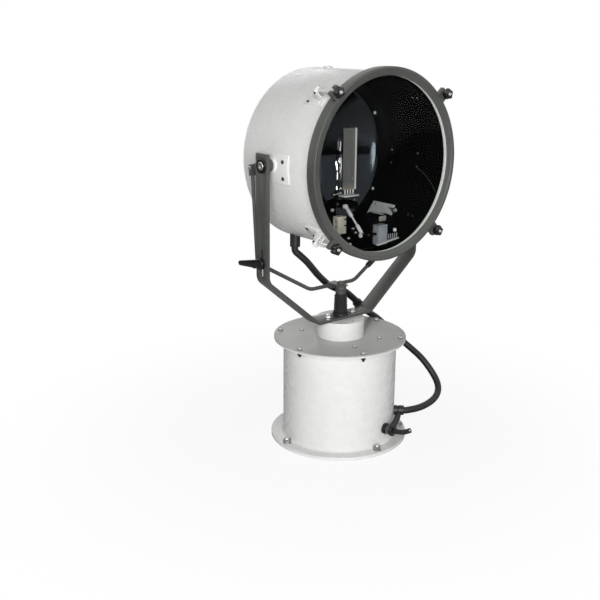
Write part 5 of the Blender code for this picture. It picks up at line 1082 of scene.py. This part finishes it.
def cranks_and_links():
    axis = (0, TILT_AXIS)
    half = CRANK_THICKNESS / 2
    back = BOW_PIN[0] - CRANK_PIN[0]
    down = BOW_PIN[1] - CRANK_PIN[1]
    length = math.hypot(back, down)
    lean = Matrix.Rotation(math.asin(back / length), 4, "X")
    swing = 0.0039
    near, far = (0, -length), (swing, -length)
    for name, side in SIDES:
        arm = prism(two_circle_hull(axis, 0.015, CRANK_PIN, 0.0065), side * LINK_X - half,
                    side * LINK_X + half, "X")
        hub = rod(0.0147, *sorted((side * LINK_X, side * 0.2292)), "X", (0, *axis), MANY, 0.0008)
        piece(f"crank_arm_{name}", [(eased(arm, 0.0006), GREY), (hub, GREY)], "lamp", [f"crank_{name}"])
        place = at(side * LINK_X, *CRANK_PIN) @ lean
        slot_half = half + GAP
        outer = slot_half + CLEVIS_TINE
        clevis = box((-outer, outer), (-CLEVIS_DEPTH / 2, CLEVIS_DEPTH / 2), (-0.018, 0.0075))
        slot = box((-slot_half, slot_half), (-0.02, 0.02), (-0.0115, 0.02))
        clevis = eased(carved(clevis, [slot]), 0.0008)
        bar = rod(0.004, swing - length, -0.015)
        eye = prism(two_circle_hull(near, 0.0078, far, 0.0078), -0.002, 0.002, "X")
        eye_slot = prism(two_circle_hull(near, 0.0038, far, 0.0038), -0.02, 0.02, "X")
        eye = eased(carved(eye, [eye_slot]), 0.0004)
        pin = rod(0.0025, -outer - 0.0012, outer + 0.001, "X", edge=0.0004)
        head = rod(0.0045, *sorted((side * (outer - GAP), side * (outer + 0.003))), "X", edge=0.0009)
        parts = [(moved(shape, place), LINK_GREY) for shape in (clevis, bar, eye)]
        parts += [(moved(shape, place), STAINLESS) for shape in (pin, head)]
        piece(f"link_bar_{name}", parts, f"link_{name}", [f"link_rod_{name}"])


# Barrel, covers, glass and trunnions

def clamp_bracket(degrees):
    """Curved pad with two ears, a cross pin and four screws."""
    half_width = 0.02
    half_angle = math.degrees(half_width / BARREL_RADIUS)
    inner = arc((0, 0), BARREL_RADIUS - 0.001, 90 - half_angle, 90 + half_angle, 10)
    outer = arc((0, 0), BARREL_RADIUS + 0.0025, 90 + half_angle, 90 - half_angle, 10)
    front, back = -0.104, -0.044
    pad = eased(prism(inner + outer, front, back, "Y"), 0.0008)
    foot = BARREL_RADIUS + 0.0012
    outline = [(-0.08, foot), (front, foot), *arc((CLAMP_PIVOT_Y, CLAMP_RADIUS), 0.0055, 180, 0, 12)]
    parts = [(pad, WHITE)]
    for low, high in ((0.0043, 0.0073), (-0.0073, -0.0043)):
        parts.append((eased(prism(outline, low, high, "X"), 0.0005), WHITE))
    pin = rod(0.0025, -0.0095, 0.0095, "X", CLAMP_PIVOT, edge=0.0004)
    parts.append((pin, BLACK_SATIN))
    for x in (-0.0135, 0.0135):
        for y in (-0.092, -0.056):
            screw = moved(socket_screw(0.0033, 0.0022), at(x, y, BARREL_RADIUS + 0.0021))
            parts.append((screw, BLACK_SATIN if y > -0.08 else WHITE))
    return [(round_lamp(shape, degrees), look) for shape, look in parts]


def barrel():
    shell = lathe([
        (LIP_BORE, BARREL_FRONT), (BARREL_RADIUS, BARREL_FRONT, 0.0008),
        (BARREL_RADIUS, BARREL_REAR, 0.0012), (REAR_BORE, BARREL_REAR),
        (REAR_BORE, BARREL_REAR - BARREL_WALL), (BARREL_INNER, BARREL_REAR - BARREL_WALL),
        (BARREL_INNER, SEAT_BACK), (SEAT_BORE, SEAT_BACK), (SEAT_BORE, SEAT_FRONT),
        (BARREL_INNER, SEAT_FRONT),
        (BARREL_INNER, BARREL_FRONT + BARREL_WALL), (LIP_BORE, BARREL_FRONT + BARREL_WALL),
    ], MOST)
    outside = BARREL_INNER + BARREL_WALL / 2
    within = bmesh.new()
    without = bmesh.new()
    mesh = bpy.data.meshes.new("split")
    shell.to_mesh(mesh)
    shell.free()
    for target, keep_outer in ((without, True), (within, False)):
        target.from_mesh(mesh)
        unwanted = []
        for face in target.faces:
            centre = face.calc_center_median()
            outer_face = math.hypot(centre.x, centre.y) > outside
            if outer_face != keep_outer:
                unwanted.append(face)
        bmesh.ops.delete(target, geom=unwanted, context="FACES")
    bpy.data.meshes.remove(mesh)
    parts = [(about_lamp(without), WHITE), (about_lamp(within), BLACK_MATT)]
    for degrees in CLAMP_ANGLES:
        parts += clamp_bracket(degrees)
    weld(piece("barrel_shell", parts, "lamp", ["barrel"]))


def weld(obj):
    """Joins the points that two halves of one shell share."""
    shape = bmesh.new()
    shape.from_mesh(obj.data)
    bmesh.ops.remove_doubles(shape, verts=shape.verts, dist=1e-6)
    shape.to_mesh(obj.data)
    shape.free()
    obj.data.set_sharp_from_angle(angle=math.radians(SHARP))


def rear_cover():
    front = BARREL_REAR + GAP
    back = front + BARREL_WALL
    dome_radius = BARREL_RADIUS - 0.009
    sphere = (dome_radius ** 2 + COVER_DEPTH ** 2) / (2 * COVER_DEPTH)
    screw_circle = 0.2008
    steps = 20
    outer = []
    for step in range(steps + 1):
        radius = dome_radius * step / steps
        outer.append((radius, back + COVER_DEPTH - sphere + math.sqrt(sphere ** 2 - radius ** 2)))
    inner = [(radius, place - BARREL_WALL) for radius, place in outer]
    rim = [(BARREL_RADIUS, back, 0.0007), (BARREL_RADIUS, front)]
    parts = [(about_lamp(lathe(outer + rim + inner[::-1], MOST, 2)), WHITE)]
    for number in range(8):
        screw = moved(socket_screw(0.0032, 0.002), at(*on_circle(screw_circle, 22.5 + 45 * number, back)))
        parts.append((about_lamp(screw), STAINLESS))
    piece("rear_dome", parts, "lamp", ["rear_cover"])


def bezel():
    skirt = BEZEL_FRONT + 0.0255
    lip = BEZEL_FRONT + 0.006
    pocket = 0.2048
    face_radius = 0.2126
    gasket_back = BARREL_FRONT - GAP

    def face_at(share):
        return (face_radius + (BEZEL_BORE - face_radius) * share, BEZEL_FRONT + (lip - BEZEL_FRONT) * share)

    groove = [face_at(0.3), (face_at(0.36)[0], face_at(0.36)[1] + 0.0007), face_at(0.42)]
    ring = lathe([
        (BARREL_RADIUS + GAP, skirt), (BEZEL_RADIUS, skirt, 0.001), (BEZEL_RADIUS, BEZEL_FRONT, 0.0042),
        (0.2118, BEZEL_FRONT + 0.0002, 0.001), *groove, (BEZEL_BORE, lip, 0.0009),
        (BEZEL_BORE, lip + 0.0025), (pocket, lip + 0.0025), (pocket, gasket_back),
        (BARREL_RADIUS + GAP, gasket_back),
    ], MOST, 4)
    parts = [(about_lamp(ring), GREY)]
    for angle in CLAMP_ANGLES:
        lug = box((-0.013, 0.013), (BEZEL_FRONT + GAP, BEZEL_FRONT + 0.012), (0.2123, 0.2385))
        slot = box((-0.004, 0.004), (-0.18, -0.12), (0.227, 0.26))
        parts.append((round_lamp(eased(carved(lug, [slot]), 0.0016, 3), angle), GREY))
    piece("front_ring", parts, "lamp", ["bezel"])


def glass():
    glass_back = GLASS_FRONT + GLASS_THICKNESS
    disc = lathe([(0, GLASS_FRONT), (GLASS_RADIUS, GLASS_FRONT, 0.0005), (GLASS_RADIUS, glass_back, 0.0005),
                  (0, glass_back)], MOST)
    piece("front_pane", [(about_lamp(disc), GLASS)], "lamp", ["front_glass"])
    front = -0.1464
    back = BARREL_FRONT - GAP
    rim, groove = 0.2045, GLASS_RADIUS + GAP
    channel = [
        (LIP_BORE, front, 0.0006), (rim, front), (rim, back), (LIP_BORE, back, 0.0006),
        (LIP_BORE, glass_back + GAP), (groove, glass_back + GAP), (groove, GLASS_FRONT - GAP),
        (LIP_BORE, GLASS_FRONT - GAP),
    ]
    piece("pane_seal", [(about_lamp(lathe(channel, MOST)), SILICONE)], "lamp", ["glass_gasket"])


def trunnions():
    inner_radius = BARREL_RADIUS + GAP
    outer_radius = inner_radius + 0.0028
    low = math.degrees(math.asin(-0.038 / BARREL_RADIUS))
    high = math.degrees(math.asin(0.026 / BARREL_RADIUS))
    outline = arc((0, 0), outer_radius, low, high, 14) + arc((0, 0), inner_radius, high, low, 14)
    boss_radius, boss_start, boss_end, shaft_start = 0.0165, 0.204, 0.2138, 0.2079
    for name, side in SIDES:
        plate = prism([(side * x, TILT_AXIS + z) for x, z in outline], -0.055, 0.055, "Y")
        boss = lathe([(0, boss_start), (boss_radius, boss_start), (boss_radius, boss_end, 0.001),
                      (0, boss_end)])
        shaft = lathe([(0, shaft_start), (SHAFT_RADIUS, shaft_start), (SHAFT_RADIUS, SHAFT_END, 0.0014),
                       (0.003, SHAFT_END), (0, SHAFT_END - 0.0018)])
        flip = Matrix.Identity(4) if side > 0 else Matrix.Rotation(math.pi, 4, "Z")
        parts = [(eased(plate, 0.0008), WHITE),
                 (moved(boss, at(0, 0, TILT_AXIS), flip, ALONG_X), WHITE),
                 (moved(shaft, at(0, 0, TILT_AXIS), flip, ALONG_X), TURNED)]
        for y in (-0.037, 0.037):
            for z in (-0.0185, 0.0185):
                level = z - 0.008
                lean = math.asin(level / outer_radius)
                seat = at(0, side * y, TILT_AXIS) @ Matrix.Rotation(-lean, 4, "Y") @ at(outer_radius, 0, 0)
                screw = moved(socket_screw(0.0044, 0.0026), flip, seat, ALONG_X)
                parts.append((screw, BLACK_SATIN))
        piece(f"trunnion_plate_{name}", parts, "lamp", [f"trunnion_{name}"])


# Clamps

def clamps():
    back = BEZEL_FRONT - 0.0007
    front = back - 0.015
    root = CLAMP_PIVOT_Y - 0.0031
    bore, widest = 0.0038, 0.0118
    for number, angle in enumerate(CLAMP_ANGLES, 1):
        eye = carved(rod(0.0065, -0.004, 0.004, "X", CLAMP_PIVOT, edge=0.0006),
                     [rod(0.0028, -0.01, 0.01, "X", CLAMP_PIVOT)])
        shank = moved(thread(0.0035, 0, root - front + 0.002), at(0, root, CLAMP_RADIUS), TO_FRONT)
        parts = [(round_lamp(eye, angle), WHITE), (round_lamp(shank, angle), SHADED_WHITE)]
        piece(f"eye_bolt_{number}", parts, f"bolt_{number}", [f"swing_bolt_{number}"])
        grip = lathe([
            (bore, back), (0.0084, back, 0.0008), (0.0086, back - 0.0032, 0.001),
            (widest, back - 0.0046, 0.0016), (widest, front + 0.0012, 0.0032), (0.0064, front, 0.001),
            (0.0058, front + 0.0006), (bore, front + 0.0006),
        ], 90, 4, lobes=5, lobe_depth=0.0013)
        grip = round_lamp(moved(grip, at(0, 0, CLAMP_RADIUS), ALONG_Y), angle)
        piece(f"grip_{number}", [(grip, KNOB_BLACK)], f"knob_{number}", [f"clamp_knob_{number}"])


# Inside the barrel

def reflector():
    steps = 24
    front = []
    for step in range(steps + 1):
        radius = REFLECTOR_RADIUS * step / steps
        front.append((radius, REFLECTOR_VERTEX - radius ** 2 / (4 * FOCAL_LENGTH)))
    back = [(radius, place + 0.0015) for radius, place in front]
    flange = [(0.186, 0.0647), (0.186, 0.0662)]
    parts = [(about_lamp(turned(front + flange + back[::-1], 128)), DARKENED_MIRROR)]
    for degrees in (-31.5, 31.5, 148.5, 211.5):
        seat = at(*on_circle(0.1822, degrees, 0.0645)) @ UPSIDE_DOWN
        parts.append((about_lamp(moved(washer(0.0048, 0.001), seat)), BLACK_SATIN))
        dome = lathe([(0, 0), (0.004, 0), (0.004, 0.005, 0.0036), (0, 0.0054)], SOME, 5)
        parts.append((about_lamp(moved(dome, seat, at(0, 0, 0.0008))), SATIN))
    piece("dish", parts, "lamp", ["reflector"])


def hood():
    """Flat sheet before the lamp on four short legs, with a rim folded forward on one side whose pale
    material is a painted highlight where it catches the light.
    """
    left, right = -0.0215, 0.015
    front, back = -0.0245, -0.0231
    sheet = block((left, right), (front, back), (HOOD_LOW, HOOD_TOP), 0.0002, 1)
    rim = block((right - 0.0004, right + 0.0014), (-0.0285, back),
                (HOOD_LOW + 0.0005, HOOD_TOP - 0.0005), 0.0003)
    # The rim is the sheet folded forward; its pale material is a painted highlight.
    parts = [(sheet, HOOD_SHEET), (rim, SATIN)]
    for number in range(4):
        x = left + 0.006 + 0.0085 * number
        leg = block((x, x + 0.003), (-0.0247, -0.0229), (LAMP_PLATE_TOP + GAP, HOOD_LOW + 0.001), 0.0003)
        parts.append((leg, SATIN))
    for z in (0.65, 0.744):
        parts.append((moved(washer(0.0022, 0.001), at(0.0085, front, z), TO_FRONT), DULL_STEEL))
    piece("hood_sheet", parts, "carriage", ["lamp_hood"])


def rounded_plate(x, y, z, corner):
    """Flat plate with round corners."""
    left, right = x[0] + corner, x[1] - corner
    front, back = y[0] + corner, y[1] - corner
    outline = []
    for turn, centre in enumerate(((right, front), (right, back), (left, back), (left, front))):
        outline += arc(centre, corner, 90 * turn - 90, 90 * turn, 5)
    return prism(outline, z[0], z[1], "Z")


def carriage():
    """Saddle on the rail with the black lampholder and the bright plate under the hood."""
    inside, cheek = 0.0103, 0.0032
    floor = RAIL_TOP + GAP
    length = (-0.04, 0.028)
    saddle = block((-inside - cheek, inside + cheek), length, (floor, floor + 0.006), 0.0006)
    parts = [(saddle, BLACK_MATT)]
    for side in (-1, 1):
        cheek_x = sorted((side * inside, side * (inside + cheek)))
        wall = block(cheek_x, length, (RAIL_TOP - 0.012, floor + 0.001), 0.0005)
        parts.append((wall, BLACK_MATT))
    holder = lathe([(0, floor + 0.0055), (0.0125, floor + 0.0055), (0.013, floor + 0.01, 0.001),
                    (0.013, 0.6175, 0.0008), (0.0112, 0.6183), (0.0112, 0.62, 0.0006), (0, 0.62)], SOME)
    parts.append((moved(holder, at(0, 0.01, 0)), BLACK_SATIN))
    disc_low, disc_high, disc_radius = 0.6063, 0.6085, 0.0275
    disc = lathe([(0, disc_low), (disc_radius, disc_low, 0.0005), (disc_radius, disc_high, 0.0005),
                  (0, disc_high)])
    parts.append((disc, BLACK_MATT))
    spacer = rounded_plate((-0.022, 0.014), (-0.036, -0.014), (0.608, LAMP_PLATE_TOP - 0.0024), 0.004)
    parts.append((spacer, BLACK_MATT))
    tray = rounded_plate((-0.029, 0.02), (-0.04, -0.013), (LAMP_PLATE_TOP - 0.0025, LAMP_PLATE_TOP), 0.006)
    parts.append((eased(tray, 0.0004), SATIN))
    parts.append((rod(0.0015, ARM_FACE, -inside - GAP, "X", (0, *FOCUS_END)), STAINLESS))
    outside = -inside - cheek
    stud = rod(0.0044, outside - 0.0045, outside, "X", (0, 0, 0.5872), edge=0.0016)
    parts.append((stud, DULL_STEEL))
    parts.append((rod(0.003, 0.0012, 0.0052, "X", (0, -0.0375, 0.6015), edge=0.001), DULL_STEEL))
    wire = smooth_route([(-0.024, 0.004, 0.6095), (-0.02, -0.006, 0.6135), (-0.015, -0.014, 0.6165)], 0.002)
    parts.append((swept(wire, 0.001, 10), SATIN))
    parts.append((moved(rod(0.0026, 0, 0.003, edge=0.001), at(-0.024, 0.004, 0.6083)), SATIN))
    piece("lamp_saddle", parts, "carriage", ["lamp_carriage"])


def terminals():
    """Ceramic block with wire holes in its side and slots along one edge."""
    low, high = TRAY_TOP + GAP, 0.5513
    hole_levels, slot_levels = (0.5256, 0.5381), (0.5278, 0.5429)
    body = box((0, 0.026), (0.014, 0.033), (low, high))
    cutters = [rod(0.0032, -0.01, 0.005, "X", (0, 0.0238, z)) for z in hole_levels]
    cutters += [box((0.019, 0.03), (0.01, 0.0175), (z - 0.0019, z + 0.0019)) for z in slot_levels]
    cutters.append(box((0.015, 0.0172), (0.01, 0.0175), (low - 0.001, low + 0.013)))
    parts = [(eased(carved(body, cutters), 0.0005), CERAMIC)]
    # Black inserts at the bottom of each hole and slot are painted shade in the recesses.
    for z in hole_levels:
        parts.append((rod(0.0031, 0.0018, 0.0049, "X", (0, 0.0238, z)), BLACK_MATT))
    for z in slot_levels:
        parts.append((box((0.0192, 0.0256), (0.016, 0.0174), (z - 0.0018, z + 0.0018)), BLACK_MATT))
    parts.append((box((0.0152, 0.017), (0.016, 0.0174), (low + 0.0002, low + 0.0128)), BLACK_MATT))
    piece("terminals", parts, "lamp", ["terminal_block"])


def focus_drive():
    """Grey gearbox with a lid, its crank, and the rod with a ball joint at each end."""
    low = TRAY_TOP + GAP
    face = -0.1277
    body = block((0.0003, 0.0277), (face, -0.1072), (low, 0.5495), 0.001)
    lid = block((0, 0.028), (-0.128, -0.107), (0.5498, 0.5543), 0.0008)
    bore = [rod(0.0033, -0.01, 0.0065, "X", (0, *FOCUS_SHAFT))]
    parts = [(carved(body, bore), BOX_GREY), (lid, BOX_GREY)]
    for x in (0.004, 0.024):
        for z in (low + 0.004, low + 0.0365):
            head = moved(socket_screw(0.0018, 0.0011), at(x, face, z), TO_FRONT)
            parts.append((head, BOX_GREY))
    piece("focus_gearbox", parts, "lamp", ["focus_motor"])
    shaft, pin_place = (0, *FOCUS_SHAFT), (0, *FOCUS_PIN)
    arm = prism(two_circle_hull(FOCUS_SHAFT, 0.0055, FOCUS_PIN, 0.0045), ARM_FACE - 0.0035, ARM_FACE, "X")
    dome = rod(0.0056, ARM_FACE - 0.008, ARM_FACE - 0.0033, "X", pin_place, edge=0.0036)
    parts = [(eased(arm, 0.0005), BLACK_MATT), (dome, SATIN),
             (rod(0.003, ARM_FACE - 0.0032, 0.006, "X", shaft), BLACK_MATT),
             (rod(0.0026, ARM_FACE - 0.0052, ARM_FACE - 0.0033, "X", shaft, edge=0.001), DULL_STEEL),
             (rod(0.0015, ARM_FACE - 0.0032, -0.0137, "X", pin_place), STAINLESS)]
    piece("focus_arm_plate", parts, "focus_arm", ["focus_crank"])
    plane, half = -0.016, 0.002
    pin, end = Vector((plane, *FOCUS_PIN)), Vector((plane, *FOCUS_END))
    along = (end - pin).normalized()
    length = (end - pin).length
    turn = along.to_track_quat("Z", "Y").to_matrix().to_4x4()
    neck, thick, thin = 0.0022, 0.0047, 0.0024
    profile = [
        (0, 0.0048), (neck, 0.0048), (0.004, 0.008), (thick, 0.0095), (thick, 0.028, 0.0008),
        (0.0036, 0.03), (thin, 0.0302), (thin, length - 0.03), (0.0042, length - 0.0298, 0.0006),
        (thick, length - 0.0275, 0.0006), (thick, length - 0.008), (neck, length - 0.0046),
        (0, length - 0.0046),
    ]
    parts = [(moved(lathe(profile, SOME), Matrix.Translation(pin) @ turn), SATIN)]
    lower = rod(0.0055, plane - half, plane + half, "X", pin_place, edge=0.0006)
    lower = carved(lower, [rod(0.0018, plane - 0.01, plane + 0.01, "X", pin_place)])
    behind, ahead = (FOCUS_END[0] - 0.0007, FOCUS_END[1]), (FOCUS_END[0] + 0.0014, FOCUS_END[1])
    upper = prism(two_circle_hull(behind, 0.0055, ahead, 0.0055), plane - half, plane + half, "X")
    slot = prism(two_circle_hull(behind, 0.0022, ahead, 0.0022), plane - 0.01, plane + 0.01, "X")
    upper = carved(upper, [slot])
    cap = rod(0.0054, plane - 0.0062, plane - 0.0024, "X", (0, *FOCUS_END), edge=0.003)
    parts += [(lower, SATIN), (eased(upper, 0.0005), SATIN), (cap, SATIN)]
    piece("focus_tie_rod", parts, "focus_rod", ["focus_link"])


def igniter():
    """Housing with an arched top, painted matt black as the shade under the plate, and the pale leaning
    plate with a rod end that stands on it.
    """
    low = TRAY_TOP + GAP
    outline = [(0.032, low), (0.066, low), (0.096, low + 0.016)]
    for x, y in arc((0, 0), 1, 0, 180, 20):
        outline.append((0.064 + 0.032 * x, low + 0.046 + 0.012 * y))
    # The housing's matt black is painted shade under the leaning plate.
    parts = [(eased(prism(outline, -0.085, -0.035, "Y"), 0.001), BLACK_MATT)]
    top, corner = 0.5927, (-0.101, 0.5665)
    arch = arch_between(corner, (-0.014, 0.5535), 0.0072, 14)
    plate = prism([(-0.035, top), (-0.108, top), corner, *arch], 0, 0.0016, "X")
    lean = at(0.064, 0, 0.56) @ Matrix.Rotation(math.radians(8), 4, "Y") @ at(0, 0, -0.56)
    parts.append((moved(eased(plate, 0.0005), lean), PALE_SHEET))
    foot = block((0.056, 0.0655), (-0.078, -0.042), (0.5655, 0.5672), 0.0005)
    parts.append((foot, PALE_SHEET))
    joint = (0.0665, -0.1085, 0.58)
    parts.append((rod(0.0062, -0.004, 0.004, "X", joint, edge=0.001), DULL_STEEL))
    parts.append((rod(0.003, -0.0062, 0.005, "X", joint, edge=0.0012), STAINLESS))
    arm = swept([joint, (0.0668, -0.101, 0.5815), (0.0668, -0.094, 0.583)], 0.0026)
    parts.append((arm, DULL_STEEL))
    for y in (-0.09, -0.045):
        screw = moved(socket_screw(0.0024, 0.0016), at(0.0668, y, 0.586), ALONG_X.inverted())
        parts.append((screw, DULL_STEEL))
    spacer = block((0.0385, 0.06), (-0.09, -0.0848), (0.553, 0.5655), 0.0022, 4)
    parts.append((spacer, WARM_GREY))
    piece("igniter_housing", parts, "lamp", ["igniter_unit"])


def arch_between(start, end, rise, steps):
    """Points from start to end along a shallow arch, without the start."""
    points = []
    for step in range(1, steps + 1):
        t = step / steps
        swell = 4 * rise * t * (1 - t)
        points.append((start[0] + (end[0] - start[0]) * t, start[1] + (end[1] - start[1]) * t + swell))
    return points


def small_fittings():
    """Terminal comb and its pale rail on the tray's front edge, screws on the tray and a loose wire."""
    low = TRAY_TOP
    rail = prism([(-0.002, low), (0.066, low + 0.0088), (0.0656, low + 0.0112), (-0.0024, low + 0.0025)],
                 -0.1285, -0.12, "Y")
    left, right, bottom = 0.01, 0.06, low - 0.0002
    foot = prism([(left, bottom), (right, bottom), (right, low + 0.0075), (left, low + 0.0012)],
                 -0.127, -0.1215, "Y")
    parts = [(eased(rail, 0.0004), SATIN), (foot, BLACK_MATT)]
    comb = block((0.03, 0.074), (-0.118, -0.109), (low, low + 0.0225), 0.0005)
    parts.append((comb, BLACK_MATT))
    for number in range(6):
        x = 0.0335 + 0.0066 * number
        tooth = block((x, x + 0.002), (-0.1187, -0.1178), (low + 0.009, low + 0.0205), 0.0002)
        parts.append((tooth, PALE_SHEET))
    dome = lathe([(0, -0.003), (0.0042, -0.003), (0.0042, 0.0066, 0.004), (0, 0.0068)], SOME, 5)
    parts.append((moved(dome, at(0.068, -0.111, low + 0.0232)), SATIN))
    for x, y in ((0.049, 0.004), (-0.0075, -0.033), (0.075, 0.0425), (-0.045, -0.08), (-0.045, 0.02)):
        parts.append((moved(socket_screw(0.0038, 0.0034), at(x, y, low)), SATIN))
    stop = rod(0.004, -0.0158, -0.01, "X", (0, 0.0215, 0.569), edge=0.0014)
    parts.append((stop, SATIN))
    route = smooth_route([(0.1995, -0.046, 0.664), (0.199, -0.073, 0.6525), (0.194, -0.101, 0.635),
                          (0.1868, -0.1265, 0.615)], 0.004)
    parts.append((swept(route, 0.0009, 10), LINK_GREY))
    for degrees in (0.6, -8.6, 179.4, 188.6):
        for y in (-0.047, 0.043):
            parts.append((wall_dot(degrees, y, 0.0032), DULL_STEEL))
    for clamp in CLAMP_ANGLES:
        for y in (-0.0765, -0.091):
            parts.append((wall_dot(clamp + 2.1, y, 0.0024), DULL_STEEL))
    piece("lamp_fittings", parts, "lamp")


def wall_dot(degrees, y, radius):
    """End of a screw that comes through the barrel's wall, seen from inside."""
    head = moved(washer(radius, 0.0012), at(0, y, BARREL_INNER + 0.0002), UPSIDE_DOWN)
    return round_lamp(head, degrees)


def vent_plug():
    """Low plug on top of the barrel near its rear."""
    plug = lathe([(0, -0.001), (0.0115, -0.001), (0.0115, 0.003, 0.001), (0.007, 0.004, 0.001),
                  (0, 0.0042)])
    piece("vent_plug", [(moved(plug, at(0, VENT_Y, TILT_AXIS + BARREL_RADIUS)), WHITE)], "lamp")


def give(node, look):
    """New material for a CAD node that stays as it is."""
    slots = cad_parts[node].data.materials
    slots.clear()
    slots.append(look)


def inner_nodes():
    for node, look in (
            ("bearing_housing", DULL_STEEL), ("pan_gear", DULL_STEEL), ("pan_motor", BLACK_SATIN),
            ("pan_pinion", BRONZE), ("tilt_actuator", BLACK_SATIN), ("lamp_chassis", BLACK_MATT),
            ("lamp_bulb", BULB_GLASS), ("barrel_gland", BLACK_SATIN), ("conduit_clip", BLACK_SATIN)):
        give(node, look)


# Conduit

CLIP_X = 0.0958
STRAP_SLOPE = math.atan2(YOKE_BEND_HEIGHT - YOKE_BOTTOM, YOKE_HALF_SPAN - YOKE_BASE_HALF)


def clip_frame():
    along = Vector((-math.cos(STRAP_SLOPE), 0, -math.sin(STRAP_SLOPE)))
    outward = Vector((math.sin(STRAP_SLOPE), 0, -math.cos(STRAP_SLOPE)))
    height = YOKE_BOTTOM + (CLIP_X - YOKE_BASE_HALF) * math.tan(STRAP_SLOPE)
    matrix = Matrix((along, Vector((0, 1, 0)), outward)).transposed().to_4x4()
    return at(CLIP_X, 0, height) @ matrix


def relaxed(route, passes, held=3):
    """Route with its kinks eased out; so many points at each end stay."""
    points = list(route)
    for _ in range(passes):
        threes = zip(points, points[1:], points[2:])
        middle = [(before + here * 2 + after) / 4 for before, here, after in threes]
        points = points[:held] + middle[held - 1:len(middle) - held + 1] + points[-held:]
    return points


def conduits():
    """Smooth black hose from the barrel to the clip, and from the clip to the pedestal's gland."""
    frame_at_clip = clip_frame()
    side, split, socket = 0.046, 0.003, 0.0085
    upper_end = frame_at_clip @ Vector((0, side, split))
    upper_in = frame_at_clip @ Vector((0, side, split - socket))
    lower_start = frame_at_clip @ Vector((0, side, split + GAP))
    lower_out = frame_at_clip @ Vector((0, side, split + socket))
    upper = smooth_route([
        (-0.08, 0.08, 0.4882), (-0.08, 0.08, 0.4682), (-0.07, 0.074, 0.456), (-0.052, 0.066, 0.4365),
        (-0.0215, 0.06, 0.4), (0.0063, 0.054, 0.3733), (0.033, 0.05, 0.3579), (0.057, 0.048, 0.3475),
        (0.0774, 0.046, 0.331), upper_in, upper_end,
    ], 0.006)
    lower = smooth_route([
        lower_start, lower_out, (0.126, 0.052, 0.2882), (0.1519, 0.06, 0.2703), (0.1779, 0.06, 0.2552),
        (0.2015, 0.045, 0.228), (0.2293, 0.03, 0.1979), (0.2426, 0.012, 0.1801), (0.2516, -0.01, 0.1644),
        (0.257, -0.035, 0.1507), (0.2631, -0.06, 0.1281), (0.2671, -0.082, 0.1041),
        (0.2618, -0.102, 0.0849), (0.2436, -0.114, 0.071), (0.2101, -0.124, 0.0642),
        (0.1728, -0.128, 0.0613), (0.1471, -0.1245, 0.06),
        on_circle(0.1701, HOSE_GLAND_ANGLE, HOSE_GLAND_HEIGHT),
        on_circle(0.1554, HOSE_GLAND_ANGLE, HOSE_GLAND_HEIGHT),
    ], 0.006)
    lower = relaxed(lower, 16)
    made = []
    for end, route in (("upper", upper), ("lower", lower)):
        tube = [(swept(route, HOSE_RADIUS, 28), HOSE)]
        made.append((piece(f"hose_{end}", tube, None, [f"conduit_{end}"], 60), route))
    return made


def bend_conduits(made):
    (upper, _), (lower, _) = made
    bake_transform(upper)
    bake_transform(lower)


look_through_camera()
studio()
pale_floor()
bpy.context.scene.view_settings.view_transform = "Standard"
hoses = conduits()
bend_conduits(hoses)
for make in (pedestal, rim_plate, deck_bolts, glands, gland_lead, cable_stub, turntable, yoke_strap,
             yoke_bolts, trunnion_bushes, guide, push_rod, bellows, tilt_bow, bow_bolt, clamp_lever,
             cranks_and_links, barrel, rear_cover, bezel, glass, trunnions, clamps, reflector, hood,
             carriage, terminals, focus_drive, igniter, small_fittings, vent_plug, inner_nodes):
    make()
